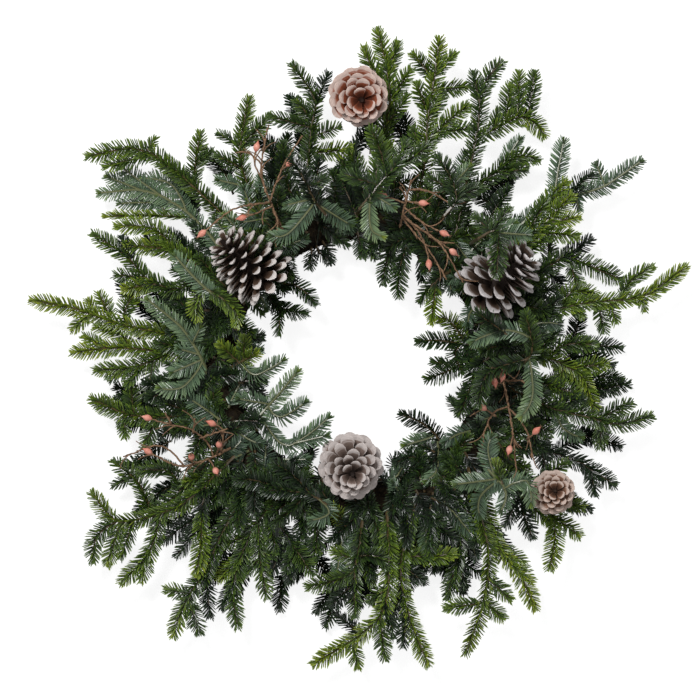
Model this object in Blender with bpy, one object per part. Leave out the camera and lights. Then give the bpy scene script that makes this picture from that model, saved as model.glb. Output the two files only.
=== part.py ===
"""A fresh evergreen wreath, lying on its back: a moss ring on a wire frame, bound with wire and
stuck with fir sprays, dried twigs with hips and wired pine cones.

Plan places are in millimetres, X to the right and Y to the top of the wreath, and are turned into
metres when the solids are made.  Z is up, away from the surface that the wreath lies on.
"""
import math

import bpy
import bmesh
import numpy as np
from mathutils import Matrix, Vector
from mathutils.bvhtree import BVHTree

MM = 0.001
GAP = 0.35                      # room left between pieces that touch

# The moss ring: a D-shaped section turned round its centre, flat side down.
RING_X, RING_Y = -1.5, -10.0
RING_RADIUS = 135.0
RING_HALF_WIDTH = 22.0
RING_HEIGHT = 38.0
RING_SEGMENTS = 48
RING_ARC_STEPS = 8

# The wire frame let into the back of the moss.
HOOP_RADII = (124.0, 146.0)
FRAME_WIRE = 1.5                # radius
FRAME_LIFT = 4.4                # height of its middle over the surface
FRAME_BARS = 6
FRAME_BAR_HALF = 1.1
FRAME_BAR_INTO_HOOP = 0.2
WIRE_SIDES = 6

# The binding wire wound round moss and frame.
BINDING_TURNS = 12
BINDING_WIRE = 0.8              # radius
BINDING_START = 98.0            # degrees
BINDING_LEAN = 14.0             # degrees that a turn gains over the top of the ring
BINDING_ROOM = 1.3              # from the moss to the middle of the wire
BINDING_FOOT = 1.05             # height of its middle under the ring
BACK_GROOVE = 2.4               # depth of the channels that let it pass under the ring
BINDING_SIDE_ROOM = 0.5         # beside it in a channel
CHANNEL_PAST_RING = 4.0
BELOW_BACK = -1.0               # where cutters for the channels start

# Shoots: a flat, pointed envelope of needles along a woody stem.
STEM_HALF = 1.8
FOLIAGE_HALF_WIDTH = 6.5
FOLIAGE_HALF_HEIGHT = 2.6
SHOULDER = 9.0                  # from bare stem to full foliage
TIP_LENGTH = 7.0
STATION_STEP = 30.0
OUTER_BARE_STEM = 32.0
INNER_BARE_STEM = 10.0
TWIG_HALF = 1.15
CONE_WIRE_HALF = 0.8
SIDE_OFFSETS = (0.23, -0.31, 0.12, -0.17, 0.37, -0.09, 0.28)    # of side shoots, up or down the stem

# How one piece is laid over those before it.
GRID_STEP = 2.0
GRID_HALF = 330.0
SIDE_ROOM = 1.5
HEIGHT_ROOM = 1.1
STEEPEST = 0.45                 # climb of a stem per run
STEEPEST_SIDE = 0.8
LEAST_REACH = 15.0              # from where a stem comes out to the next point of its path
ROOT_DEPTH = 13.0
ROOT_RUN = 7.0
ROOT_ROOM = 0.8                 # from a stem's root to whatever is laid already
ROOT_SPREAD = 17.0              # how far roots lie from the ring's middle line, at most
ROOT_START_SPREAD = 14.0        # the same where the search for a place starts
SEARCH_TURN = 30.0              # degrees to either side in which a root's place is looked for
SEARCH_SHIFT = 30.0             # and how far in or out
TURN_COST = 2.4                 # millimetres that a degree counts for
HOLE_ROOM = 0.65                # round a stem in the moss
CONE_WIRE_SPREAD = 13.0
CONE_WIRE_TURN = 3.0
CONE_WIRE_BARE = 30.0
CONE_WIRE_TIP = 3.0             # height of a cone wire's end, if nothing lifts it
TWIG_BARE = 6.0
DROP_FROM = 140.0

# Name, height of the tip, plan points of the main stem, and side shoots: each with its place as a
# share of the stem that bears it, its plan points and its own side shoots.
LOW_SPRAYS = (
    ("spray_low_1", 24, ((84, -113), (92, -150), (92, -188), (82, -229)),
     ((.62, ((97, -219),), ()), (.50, ((109, -190),), ()), (.45, ((72, -178), (69, -203)), ()),
      (.40, ((55, -175), (57, -205)), ()))),
    ("spray_low_2", 22, ((120, 48), (165, 72), (192, 87), (216, 78), (244, 66)),
     ((.50, ((214, 103),), ()), (.60, ((204, 56), (214, 52)), ()), (.42, ((176, 106),), ()))),
    ("spray_low_3", 24, ((-110, 70), (-152, 122), (-195, 148), (-241, 147)),
     ((.72, ((-234, 162),), ()), (.62, ((-222, 171),), ()), (.55, ((-205, 138), (-222, 137)), ()),
      (.45, ((-172, 158), (-200, 160)), ()),
      (.40, ((-185, 125), (-235, 125)), ((.30, ((-187, 142),), ()),)))),
    ("spray_low_4", 22, ((-118, -78), (-160, -125), (-192, -150), (-205, -122), (-228, -103)),
     ((.86, ((-227, -124),), ()), (.40, ((-175, -108), (-204, -112)), ()), (.68, ((-176, -160),), ()))),
)
HIGH_SPRAYS = (
    ("spray_top_1", 44, ((12, 126), (18, 180), (28, 228), (25, 262), (17, 295)),
     ((.66, ((12, 258), (5, 278)), ()), (.74, ((35, 283),), ()), (.60, ((46, 258),), ()),
      (.50, ((12, 222),), ()), (.45, ((44, 235),), ()))),
    ("spray_top_2", 38, ((47, 116), (60, 172), (63, 215), (69, 252), (74, 287)),
     ((.78, ((50, 273),), ()), (.80, ((87, 274),), ()), (.72, ((99, 244),), ()), (.58, ((53, 245),), ()),
      (.55, ((77, 238),), ()), (.40, ((76, 208), (99, 226)), ((.30, ((103, 206),), ()),)),
      (.35, ((50, 205),), ()))),
    ("spray_top_3", 34, ((86, 96), (100, 160), (109, 205), (113, 244), (131, 267)),
     ((.74, ((105, 256),), ()),
      (.55, ((128, 206), (150, 218), (162, 214), (171, 199)),
       ((.22, ((129, 222),), ()), (.40, ((139, 245),), ()), (.56, ((148, 257),), ()),
        (.70, ((162, 256),), ()))),
      (.24, ((126, 165), (146, 182), (165, 177)),
       ((.50, ((148, 196),), ()), (.45, ((154, 168),), ()))))),
    ("spray_right_1", 36, ((108, 72), (150, 118), (185, 140), (222, 150), (260, 175)),
     ((.78, ((219, 173),), ()), (.55, ((214, 162),), ()), (.50, ((183, 165), (189, 194)), ()),
      (.40, ((191, 156),), ()), (.62, ((203, 131),), ()))),
    ("spray_right_2", 48, ((116, 60), (150, 98), (172, 117), (201, 123)),
     ((.66, ((194, 142),), ()), (.60, ((200, 106),), ()), (.45, ((170, 138),), ()))),
    ("spray_right_3", 34, ((131, 18), (180, 38), (222, 46), (262, 50), (302, 78)),
     ((.62, ((250, 66), (270, 77)), ()), (.50, ((226, 19),), ()), (.56, ((237, 28),), ()),
      (.72, ((263, 40),), ()), (.30, ((196, 58), (218, 51)), ()), (.36, ((206, 32),), ()))),
    ("spray_right_4", 40, ((134, -4), (168, -5), (198, -17), (211, -34), (217, -59)),
     ((.51, ((228, -12),), ()), (.47, ((182, -36),), ()), (.29, ((190, 8), (218, 5)), ()),
      (.23, ((178, 22),), ()))),
    ("spray_right_5", 32, ((132, -30), (175, -52), (215, -62), (240, -68), (269, -61)),
     ((.62, ((250, -48),), ()), (.66, ((222, -87),), ()), (.36, ((186, -72), (205, -80)), ()),
      (.34, ((193, -46),), ()), (.52, ((206, -45),), ()),
      (.16, ((162, -84), (190, -98), (213, -108), (218, -132)),
       ((.74, ((235, -123),), ()), (.36, ((172, -108),), ()))))),
    ("spray_foot_1", 38, ((119, -74), (150, -113), (176, -145), (181, -170), (176, -200)),
     ((.62, ((202, -170),), ()), (.50, ((205, -144),), ()), (.42, ((178, -112), (190, -104)), ()),
      (.30, ((150, -145), (160, -172)), ((.30, ((135, -160),), ()), (.35, ((174, -158),), ()))))),
    ("spray_foot_2", 34, ((104, -96), (117, -148), (130, -186), (149, -206), (162, -237)),
     ((.66, ((159, -212),), ()), (.55, ((152, -195),), ()), (.45, ((104, -178),), ()),
      (.40, ((130, -168),), ()))),
    ("spray_foot_3", 32, ((96, -104), (111, -150), (119, -187), (117, -216), (112, -242), (98, -280)),
     ((.58, ((139, -229),), ()), (.70, ((132, -247),), ()), (.72, ((80, -238),), ()))),
    ("spray_foot_4", 40, ((55, -131), (43, -170), (38, -210), (47, -248), (63, -288)),
     ((.66, ((40, -272),), ()), (.50, ((31, -249),), ()), (.40, ((57, -211),), ()),
      (.34, ((68, -190), (86, -187)), ()))),
    ("spray_foot_5", 30, ((32, -139), (27, -190), (24, -236), (4, -260), (-13, -272), (-42, -290)),
     ((.70, ((-21, -245),), ()), (.76, ((-2, -292),), ()), (.55, ((23, -282),), ()),
      (.46, ((31, -262),), ()), (.40, ((10, -230),), ()))),
    ("spray_foot_6", 42, ((4, -146), (0, -180), (-5, -207), (-4, -243)),
     ((.45, ((-24, -184),), ()), (.55, ((-22, -212), (-47, -217)), ()), (.66, ((-26, -235),), ()),
      (.40, ((18, -188), (24, -200)), ()))),
    ("spray_foot_7", 36, ((-66, -128), (-96, -160), (-112, -198), (-117, -225), (-113, -253)),
     ((.50, ((-129, -211),), ()), (.66, ((-127, -237),), ()), (.36, ((-126, -178),), ()),
      (.24, ((-92, -190), (-86, -226)), ((.45, ((-70, -185),), ()), (.50, ((-104, -206),), ()))),
      (.16, ((-62, -178), (-65, -212)), ((.40, ((-82, -206),), ()), (.35, ((-44, -204),), ()))))),
    ("spray_foot_8", 30, ((-92, -112), (-124, -163), (-142, -204), (-157, -226), (-148, -261)),
     ((.76, ((-165, -240), (-172, -263)), ()), (.76, ((-177, -221),), ()), (.60, ((-138, -244),), ()))),
    ("spray_left_1", 34, ((-110, -92), (-156, -136), (-190, -152), (-226, -157), (-247, -131)),
     ((.78, ((-245, -170), (-246, -193)), ()), (.76, ((-233, -197),), ()), (.68, ((-221, -190),), ()),
      (.52, ((-195, -188), (-220, -214)), ((.50, ((-202, -212),), ()),)),
      (.22, ((-150, -163), (-168, -189)),
       ((.40, ((-182, -175),), ()), (.30, ((-146, -182), (-150, -205)), ()))))),
    ("spray_left_2", 36, ((-131, -50), (-168, -60), (-200, -61), (-223, -56), (-248, -44)),
     ((.70, ((-217, -79),), ()), (.62, ((-211, -32),), ()), (.42, ((-199, -88),), ()))),
    ("spray_left_3", 32, ((-137, -4), (-185, 0), (-225, 3), (-265, -1)),
     ((.74, ((-254, 13),), ()), (.56, ((-222, 18), (-243, 22)), ()),
      (.24, ((-205, -14), (-243, -18)), ((.55, ((-230, -26),), ()), (.40, ((-214, -30),), ()),
                                         (.25, ((-196, -36),), ()))))),
    ("spray_left_4", 38, ((-134, 12), (-182, 17), (-225, 26), (-262, 39), (-302, 47)),
     ((.66, ((-265, 21),), ()), (.54, ((-240, 52),), ()), (.62, ((-250, 47),), ()),
      (.44, ((-218, 34), (-207, 56)), ()))),
    ("spray_left_5", 46, ((-120, 56), (-158, 84), (-184, 95), (-214, 97)),
     ((.45, ((-190, 113), (-224, 115)), ()),
      (.25, ((-165, 56), (-195, 66), (-213, 86), (-244, 107)),
       ((.50, ((-224, 70),), ()), (.66, ((-218, 103),), ()), (.40, ((-217, 57),), ()))))),
    ("spray_left_6", 40, ((-96, 88), (-143, 142), (-174, 170), (-205, 187), (-249, 180)),
     ((.72, ((-189, 196),), ()), (.68, ((-234, 171),), ()), (.48, ((-184, 176),), ()),
      (.42, ((-152, 172), (-147, 200)), ((.45, ((-137, 183),), ()),)))),
    ("spray_top_4", 36, ((-76, 104), (-98, 140), (-110, 175), (-108, 205), (-102, 233)),
     ((.66, ((-129, 200),), ()), (.50, ((-131, 180),), ()), (.66, ((-83, 216),), ()),
      (.36, ((-130, 158),), ()), (.22, ((-78, 160), (-80, 191)), ((.45, ((-64, 184),), ()),)))),
    ("spray_top_5", 42, ((-38, 120), (-48, 163), (-44, 205), (-41, 233), (-61, 263)),
     ((.70, ((-29, 255),), ()), (.56, ((-81, 216),), ()), (.60, ((-57, 230),), ()),
      (.40, ((-28, 184), (-9, 187)), ()), (.50, ((-20, 206),), ()))),
)
INNER_SPRAYS = (
    ("spray_in_1", 44, ((-104, 58), (-86, 66), (-60, 64), (-42, 45)),
     ((.30, ((-76, 88),), ()), (.22, ((-80, 40), (-51, 35)), ((.30, ((-81, 52),), ()),
                                                               (.45, ((-74, 17),), ()))))),
    ("spray_in_2", 48, ((-124, -18), (-104, -12), (-94, -2)),
     ((.45, ((-106, 12),), ()), (.40, ((-96, -26), (-70, -8)), ()), (.30, ((-128, 6),), ()))),
    ("spray_in_3", 42, ((-106, -74), (-92, -62), (-76, -42), (-57, -19)),
     ((.40, ((-112, -44),), ()), (.36, ((-72, -64), (-50, -47)), ()),
      (.20, ((-74, -88), (-50, -80), (-29, -62)), ((.55, ((-30, -78),), ()),)))),
    ("spray_in_4", 44, ((88, -96), (80, -82), (62, -68), (38, -58)),
     ((.35, ((66, -80), (41, -87)), ()), (.24, ((72, -104), (50, -96), (34, -103)), ()),
      (.30, ((74, -108), (62, -119)), ()))),
    ("spray_in_5", 46, ((122, 4), (98, 6), (76, 10), (54, 9)),
     ((.35, ((88, -4), (95, -19)), ()), (.25, ((96, -14), (62, -26)), ((.50, ((68, -10),), ()),)),
      (.20, ((106, -20), (100, -40), (92, -59)), ()), (.25, ((84, 28), (72, 30)), ()))),
    ("spray_in_6", 44, ((86, 84), (76, 78), (68, 62), (56, 46)),
     ((.45, ((68, 40), (66, 27)), ()), (.50, ((74, 56),), ()),
      (.20, ((50, 104), (30, 98), (24, 78), (22, 64)), ((.50, ((36, 72), (36, 51)), ()),)))),
)
FACE_SPRAYS = (
    ("spray_face_1", 62, ((-30, 118), (-42, 138), (-50, 156), (-62, 174)),
     ((.30, ((-66, 133),), ()), (.20, ((-8, 115),), ()), (.50, ((-30, 157),), ()),
      (.25, ((-62, 106), (-79, 104)), ()))),
    ("spray_face_2", 60, ((-4, 124), (14, 146), (32, 168), (42, 192)),
     ((.22, ((30, 131),), ()), (.20, ((8, 112), (20, 104)), ()), (.55, ((62, 186),), ()),
      (.50, ((18, 186), (10, 200)), ()), (.35, ((-14, 160),), ()))),
    ("spray_face_3", 58, ((76, 108), (88, 138), (84, 158), (70, 176)),
     ((.50, ((100, 168),), ()), (.35, ((108, 148),), ()), (.45, ((62, 158),), ()))),
    ("spray_face_4", 62, ((104, 96), (122, 108), (124, 90), (122, 68)),
     ((.30, ((150, 104),), ()), (.25, ((104, 120),), ()), (.20, ((134, 128),), ()))),
    ("spray_face_5", 58, ((142, -30), (157, 2), (150, 34)),
     ((.50, ((170, 16),), ()), (.55, ((130, 22), (102, 8)), ((.4, ((106, 34),), ()),)),
      (.20, ((160, -40), (148, -59)), ()), (.15, ((116, -20), (108, -48)), ()))),
    ("spray_face_6", 56, ((100, -112), (118, -118), (134, -128), (128, -146)),
     ((.25, ((88, -122),), ()), (.50, ((154, -112), (155, -138)), ()), (.30, ((108, -132), (110, -151)), ()),
      (.40, ((124, -102),), ()), (.20, ((116, -92), (120, -78)), ()))),
    ("spray_face_7", 58, ((-30, -140), (-48, -130), (-66, -128), (-87, -128)),
     ((.30, ((-62, -112), (-80, -103)), ()), (.15, ((-24, -150), (-44, -155)), ()),
      (.55, ((-96, -118), (-113, -118)), ()), (.35, ((-62, -146), (-78, -158)), ()))),
    ("spray_face_8", 60, ((-138, -28), (-146, -6), (-162, 20), (-194, 47)),
     ((.35, ((-146, 21),), ()), (.16, ((-172, -20),), ()), (.22, ((-166, 2),), ()),
      (.14, ((-160, -36), (-183, -34)), ()))),
    ("spray_face_9", 56, ((-118, 40), (-128, 52), (-148, 64), (-168, 87)),
     ((.30, ((-112, 40), (-112, 24)), ()), (.35, ((-150, 42), (-148, 30)), ()))),
)

# Name, plan place, diameter, length, and the way that the tip points.
CONES = (
    ("cone_top", (0.5, 229.0), 53.0, 50.0, (0.10, -0.22, 1.0)),
    ("cone_left", (-109.0, 86.0), 61.0, 70.0, (-0.62, 0.56, 0.42)),
    ("cone_foot", (-7.0, -109.0), 58.0, 56.0, (0.05, -0.20, 1.0)),
    ("cone_right", (135.0, 73.0), 66.0, 68.0, (0.60, 0.55, 0.30)),
    ("cone_small", (177.0, -128.0), 40.0, 36.0, (0.02, 0.10, 1.0)),
)

CONE_TIERS = 6
CONE_SIDES = 11
CONE_TIER_DEPTH = 0.2           # how far the gap under a tier of scales goes in

# Dried twigs: as the sprays.  A twig named in HIPS bears a hip at its tip.
TWIGS = (
    ("twigs_left", 74, ((-84, 98), (-84, 124), (-89, 155), (-88, 183), (-83, 206)),
     ((.62, ((-101, 181),), ()), (.45, ((-96, 170), (-94, 184)), ()),
      (.26, ((-78, 148), (-68, 172), (-52, 196)), ((.45, ((-63, 171),), ()),)),
      (.16, ((-74, 116), (-76, 106)), ()), (.20, ((-96, 124), (-106, 121)), ()),
      (.24, ((-114, 128), (-142, 106)), ()))),
    ("twigs_top", 76, ((30, 112), (38, 132), (47, 157)),
     ((.35, ((58, 116), (76, 108)), ()), (.20, ((56, 108), (61, 96), (63, 80)), ()),
      (.75, ((65, 146), (86, 131)), ()), (.45, ((22, 141),), ()), (.50, ((58, 134),), ()),
      (.15, ((72, 98), (94, 61)), ((.35, ((86, 90),), ()),)), (.12, ((66, 88), (80, 63)), ()))),
    ("twigs_foot", 72, ((-112, -90), (-136, -98), (-165, -106), (-192, -92)),
     ((.20, ((-140, -82), (-152, -72), (-170, -68), (-194, -61)), ((.30, ((-120, -71),), ()),
                                                                   (.40, ((-150, -60),), ()),
                                                                   (.70, ((-178, -55),), ()))),
      (.15, ((-128, -84),), ()), (.10, ((-124, -72), (-135, -66)), ()), (.45, ((-153, -97),), ()),
      (.55, ((-180, -86), (-217, -97)), ()), (.25, ((-131, -109),), ()))),
    ("twigs_right", 70, ((131, 3), (142, -18), (136, -45), (141, -80), (143, -112)),
     ((.10, ((134, -12), (130, -23)), ()), (.08, ((120, -14), (123, -27)), ()),
      (.40, ((120, -57), (112, -74), (113, -94)), ((.30, ((113, -52),), ()),)),
      (.42, ((155, -72), (157, -98)), ((.65, ((161, -73),), ()),)),
      (.66, ((137, -89),), ()), (.16, ((153, -27),), ()))),
)
HIPS = {
    "twigs_left": (2, 4, 5, 6, 7),
    "twigs_top": (1, 2, 4, 5, 7),
    "twigs_foot": (0, 1, 5, 6, 7, 9),
    "twigs_right": (1, 2, 4, 6, 7),
}

HIP_SIDES = 5
HIP_PROFILE = ((-2.4, 0.9), (-0.6, 3.0), (2.2, 3.3), (5.2, 1.9), (6.6, 0.6))     # along, radius
HIP_AHEAD = 0.1                 # its middle, past the twig's end, as a share of the last stretch
HIP_SIDE_ROOM = 3.0
HIP_HEIGHT_ROOM = 2.0

# Colour, roughness and metallic value of each kind of piece.
LOOKS = {
    "spray": ((0.045, 0.11, 0.03), 0.55, 0.0),
    "moss": ((0.06, 0.035, 0.02), 0.95, 0.0),
    "steel": ((0.02, 0.05, 0.02), 0.5, 0.4),
    "binding": ((0.03, 0.045, 0.02), 0.5, 0.4),
    "cone": ((0.22, 0.17, 0.13), 0.8, 0.0),
    "twig": ((0.20, 0.12, 0.06), 0.8, 0.0),
}


# --- plan geometry -------------------------------------------------------------------------------

def smooth_path(points, step=2.0):
    """Evenly spaced points along a Catmull-Rom curve through the given ones."""
    knots = [2 * np.array(points[0]) - np.array(points[1])]
    knots += [np.array(point) for point in points]
    knots.append(2 * np.array(points[-1]) - np.array(points[-2]))
    fine = []
    for before, start, end, after in zip(knots, knots[1:], knots[2:], knots[3:]):
        for t in np.linspace(0, 1, 24, endpoint=False):
            fine.append(0.5 * (2 * start + (end - before) * t
                               + (2 * before - 5 * start + 4 * end - after) * t ** 2
                               + (3 * start - before - 3 * end + after) * t ** 3))
    fine.append(knots[-2])
    fine = np.array(fine, dtype=float)
    run = np.concatenate(([0], np.cumsum(np.linalg.norm(np.diff(fine, axis=0), axis=1))))
    wanted = np.linspace(0, run[-1], max(2, int(round(run[-1] / step)) + 1))
    return np.column_stack([np.interp(wanted, run, fine[:, axis]) for axis in range(2)]), run[-1]


def along(path, share):
    """The plan point at a share of a path's length."""
    place = share * (len(path) - 1)
    first = min(int(place), len(path) - 2)
    return path[first] + (path[first + 1] - path[first]) * (place - first)


def moss_top(x, y):
    """Height of the moss ring's upper face, or 0 beside it."""
    off = (math.hypot(x - RING_X, y - RING_Y) - RING_RADIUS) / RING_HALF_WIDTH
    return RING_HEIGHT * math.sqrt(1 - off * off) if abs(off) < 1 else 0.0


def ring_point(degrees, radius):
    """The plan point at an angle and a distance from the ring's centre."""
    angle = math.radians(degrees)
    return np.array((RING_X + radius * math.cos(angle), RING_Y + radius * math.sin(angle)))


# --- laying one piece over another ----------------------------------------------------------------

class Heap:
    """How high the pieces laid so far reach, over a grid in plan."""

    def __init__(self):
        count = int(2 * GRID_HALF / GRID_STEP) + 1
        axis = -GRID_HALF + GRID_STEP * np.arange(count)
        far = np.hypot(axis[:, None] - RING_X, axis[None, :] - RING_Y)
        off = np.clip((far - RING_RADIUS) / RING_HALF_WIDTH, -1, 1)
        self.height = RING_HEIGHT * np.sqrt(1 - off ** 2)
        self.bare = self.height.copy()

    def cells(self, x, y, reach, margin=GRID_STEP):
        """The grid's cells within reach of a place."""
        low_x = int(math.floor((x - reach + GRID_HALF) / GRID_STEP))
        low_y = int(math.floor((y - reach + GRID_HALF) / GRID_STEP))
        span = int(math.ceil(2 * reach / GRID_STEP)) + 2
        rows, columns = np.mgrid[low_x:low_x + span, low_y:low_y + span]
        near = np.hypot(rows * GRID_STEP - GRID_HALF - x, columns * GRID_STEP - GRID_HALF - y)
        inside = near <= reach + margin
        return rows[inside], columns[inside]

    def top(self, x, y, reach):
        """The highest thing within reach of a place."""
        return self.height[self.cells(x, y, reach)].max()

    def is_bare(self, x, y, reach):
        """Whether only moss lies within reach of a place."""
        cells = self.cells(x, y, reach, 0.0)
        return bool((self.height[cells] <= self.bare[cells] + 0.01).all())

    def raise_to(self, x, y, reach, z):
        """Notes a thing of that reach and height."""
        cells = self.cells(x, y, reach)
        self.height[cells] = np.maximum(self.height[cells], z)


class Shoot:
    """One shoot: stations along its plan path, with a half width and half height at each."""

    def __init__(self, points, side_shoots, start_half, full, tip_z, woody):
        self.path, self.length = smooth_path(points)
        length = self.length
        shoulder = min(woody + SHOULDER, 0.5 * length)
        before_tip = max(length - TIP_LENGTH, 0.6 * length)
        inner = max(1, int(round((before_tip - shoulder) / STATION_STEP)))
        runs = [0.0]
        if woody > 0:
            runs.append(min(woody, 0.3 * length))
        runs += list(np.linspace(shoulder, before_tip, inner + 1))
        runs.append(length)
        self.runs = np.array(runs)
        self.halves = np.array([full] * len(runs))
        self.halves[0] = (start_half, start_half)
        if woody > 0:
            self.halves[1] = (start_half, start_half)
        self.halves[-1] = (0.32 * full[0], 0.6 * full[1])
        self.places = np.array([along(self.path, run / length) for run in runs])
        self.tip_z = tip_z
        self.needs = None
        self.z = None
        self.sides = []
        for share, side_points, own in side_shoots:
            start = [np.interp(share * length, self.runs, self.places[:, axis]) for axis in range(2)]
            side = Shoot((tuple(start),) + side_points, own, 0.72 * start_half, full, tip_z, 0.0)
            self.sides.append((share, side))

    def samples(self, band):
        """Places and half sizes at steps along the band between two stations."""
        count = max(2, int(math.ceil((self.runs[band + 1] - self.runs[band]) / GRID_STEP)) + 1)
        for t in np.linspace(0, 1, count):
            place = self.places[band] * (1 - t) + self.places[band + 1] * t
            half = self.halves[band] * (1 - t) + self.halves[band + 1] * t
            yield t, place, half

    def find_needs(self, heap):
        """The least height of each band, so that it and the side shoots leaving it lie clear."""
        self.needs = []
        for band in range(len(self.runs) - 1):
            need = 0.0
            for _, place, half in self.samples(band):
                under = heap.top(place[0], place[1], half[0] + SIDE_ROOM)
                need = max(need, under + half[1] + HEIGHT_ROOM)
            self.needs.append(need)
        for share, side in self.sides:
            side.find_needs(heap)
            band = int(np.searchsorted(self.runs, share * self.length, side="right")) - 1
            band = min(band, len(self.needs) - 1)
            start = max(need - STEEPEST_SIDE * run for need, run in zip(side.needs, side.runs))
            self.needs[band] = max(self.needs[band], start)

    def settle(self, start_z, fixed):
        """Heights of the stations, from the start to the tip, no steeper than shoots grow."""
        natural = start_z + (self.tip_z - start_z) * self.runs / self.length
        self.z = np.array(natural)
        for band, need in enumerate(self.needs):
            self.z[band] = max(self.z[band], need)
            self.z[band + 1] = max(self.z[band + 1], need)
        steps = np.diff(self.runs) * STEEPEST
        for station in range(len(self.z) - 2, 0 if fixed else -1, -1):
            self.z[station] = max(self.z[station], self.z[station + 1] - steps[station])
        for station in range(1, len(self.z)):
            self.z[station] = max(self.z[station], self.z[station - 1] - steps[station - 1])
        if fixed:
            self.z[0] = start_z
        for number, (share, side) in enumerate(self.sides):
            offset = SIDE_OFFSETS[number % len(SIDE_OFFSETS)]
            side.settle(float(np.interp(share * self.length, self.runs, self.z)) + offset, True)

    def stamp(self, heap):
        """Notes the shoot and its side shoots on the heap."""
        for band in range(len(self.runs) - 1):
            for t, place, half in self.samples(band):
                z = self.z[band] * (1 - t) + self.z[band + 1] * t
                heap.raise_to(place[0], place[1], half[0], z + half[1])
        for _, side in self.sides:
            side.stamp(heap)

    def all_shoots(self):
        """The shoot itself, then its side shoots, each followed by its own."""
        found = [self]
        for _, side in self.sides:
            found += side.all_shoots()
        return found


def beyond(points, root):
    """The points of a path that are far enough from its root for a stem to run to them."""
    far = [point for point in points[1:-1] if np.linalg.norm(point - root) > ROOT_RUN + LEAST_REACH]
    return tuple(far) + (points[-1],)


def find_root(heap, points, half):
    """A free place in the moss near the first point: where a stem goes in, and where it comes out."""
    wanted = points[0]
    angle = math.degrees(math.atan2(wanted[1] - RING_Y, wanted[0] - RING_X))
    radius = math.hypot(wanted[0] - RING_X, wanted[1] - RING_Y)
    radius = min(max(radius, RING_RADIUS - ROOT_START_SPREAD), RING_RADIUS + ROOT_START_SPREAD)
    choices = []
    for turn in np.arange(-SEARCH_TURN, SEARCH_TURN + 0.1, 1.5):
        for shift in np.arange(-SEARCH_SHIFT, SEARCH_SHIFT + 0.1, 3):
            if abs(radius + shift - RING_RADIUS) <= ROOT_SPREAD:
                choices.append((abs(turn) * TURN_COST + abs(shift), turn, shift))
    for _, turn, shift in sorted(choices):
        root = ring_point(angle + turn, radius + shift)
        way = np.array(beyond(points, root)[0], dtype=float) - root
        leave = root + way / np.linalg.norm(way) * ROOT_RUN
        steps = [root * (1 - t) + leave * t for t in np.linspace(-0.05, 1.1, 8)]
        if all(heap.is_bare(place[0], place[1], half + ROOT_ROOM) for place in steps):
            return root, leave
    raise ValueError("no free place for a stem near %s" % (wanted,))


def plant(heap, tip_z, points, side_shoots, half, full, woody):
    """Lays a spray, twig cluster or cone wire: its shoots, and where its stem enters the moss."""
    root, leave = find_root(heap, points, half)
    shoot = Shoot((tuple(leave),) + beyond(points, root), side_shoots, half, full, tip_z, woody)
    shoot.find_needs(heap)
    shoot.settle(moss_top(leave[0], leave[1]) + half + HEIGHT_ROOM, False)
    shoot.stamp(heap)
    root_z = moss_top(root[0], root[1]) - ROOT_DEPTH
    for t in np.linspace(0, 1, 6):
        place = root * (1 - t) + leave * t
        heap.raise_to(place[0], place[1], half, shoot.z[0] + half)
    return shoot, (root, root_z)


# --- solids ---------------------------------------------------------------------------------------

def clear_scene():
    """Removes whatever the file holds."""
    for thing in list(bpy.data.objects):
        bpy.data.objects.remove(thing, do_unlink=True)


def material(name, colour, roughness, metallic):
    """A plain Principled material."""
    made = bpy.data.materials.new(name)
    made.use_nodes = True
    shader = made.node_tree.nodes["Principled BSDF"]
    shader.inputs["Base Color"].default_value = (*colour, 1)
    shader.inputs["Roughness"].default_value = roughness
    shader.inputs["Metallic"].default_value = metallic
    return made


def add_object(name, mesh):
    """A new object in the scene."""
    made = bpy.data.objects.new(name, mesh)
    bpy.context.scene.collection.objects.link(made)
    return made


def loft(name, sections, closed=False):
    """A closed tube through sections of equal count, each a list of points in millimetres."""
    mesh = bpy.data.meshes.new(name)
    shape = bmesh.new()
    rings = [[shape.verts.new(Vector(point) * MM) for point in section] for section in sections]
    pairs = list(zip(rings, rings[1:]))
    if closed:
        pairs.append((rings[-1], rings[0]))
    for here, there in pairs:
        count = len(here)
        for side in range(count):
            after = (side + 1) % count
            shape.faces.new((here[side], here[after], there[after], there[side]))
    if not closed:
        shape.faces.new(list(reversed(rings[0])))
        shape.faces.new(rings[-1])
    bmesh.ops.recalc_face_normals(shape, faces=shape.faces[:])
    shape.to_mesh(mesh)
    shape.free()
    return add_object(name, mesh)


def diamond_tube(name, places, heights, halves):
    """A flat tube with upright diamond sections, along plan places at their heights."""
    places = np.array(places)
    ways = np.gradient(places, axis=0)
    sections = []
    for place, z, half, way in zip(places, heights, halves, ways):
        across = np.array((-way[1], way[0])) / np.linalg.norm(way) * half[0]
        sections.append(((place[0] + across[0], place[1] + across[1], z),
                         (place[0], place[1], z + half[1]),
                         (place[0] - across[0], place[1] - across[1], z),
                         (place[0], place[1], z - half[1])))
    return loft(name, sections)


def bake(obj):
    """Turns an object's modifiers into its mesh."""
    bpy.context.view_layer.update()
    seen = obj.evaluated_get(bpy.context.evaluated_depsgraph_get())
    mesh = bpy.data.meshes.new_from_object(seen)
    obj.modifiers.clear()
    obj.data = mesh


def combine(obj, others, operation, solver="EXACT"):
    """One Boolean after another, and the other solids are used up."""
    for number, other in enumerate(others):
        cut = obj.modifiers.new("%s_%d" % (operation.lower(), number), "BOOLEAN")
        cut.operation = operation
        cut.solver = solver
        cut.object = other
    bake(obj)
    for other in others:
        bpy.data.objects.remove(other, do_unlink=True)


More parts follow.
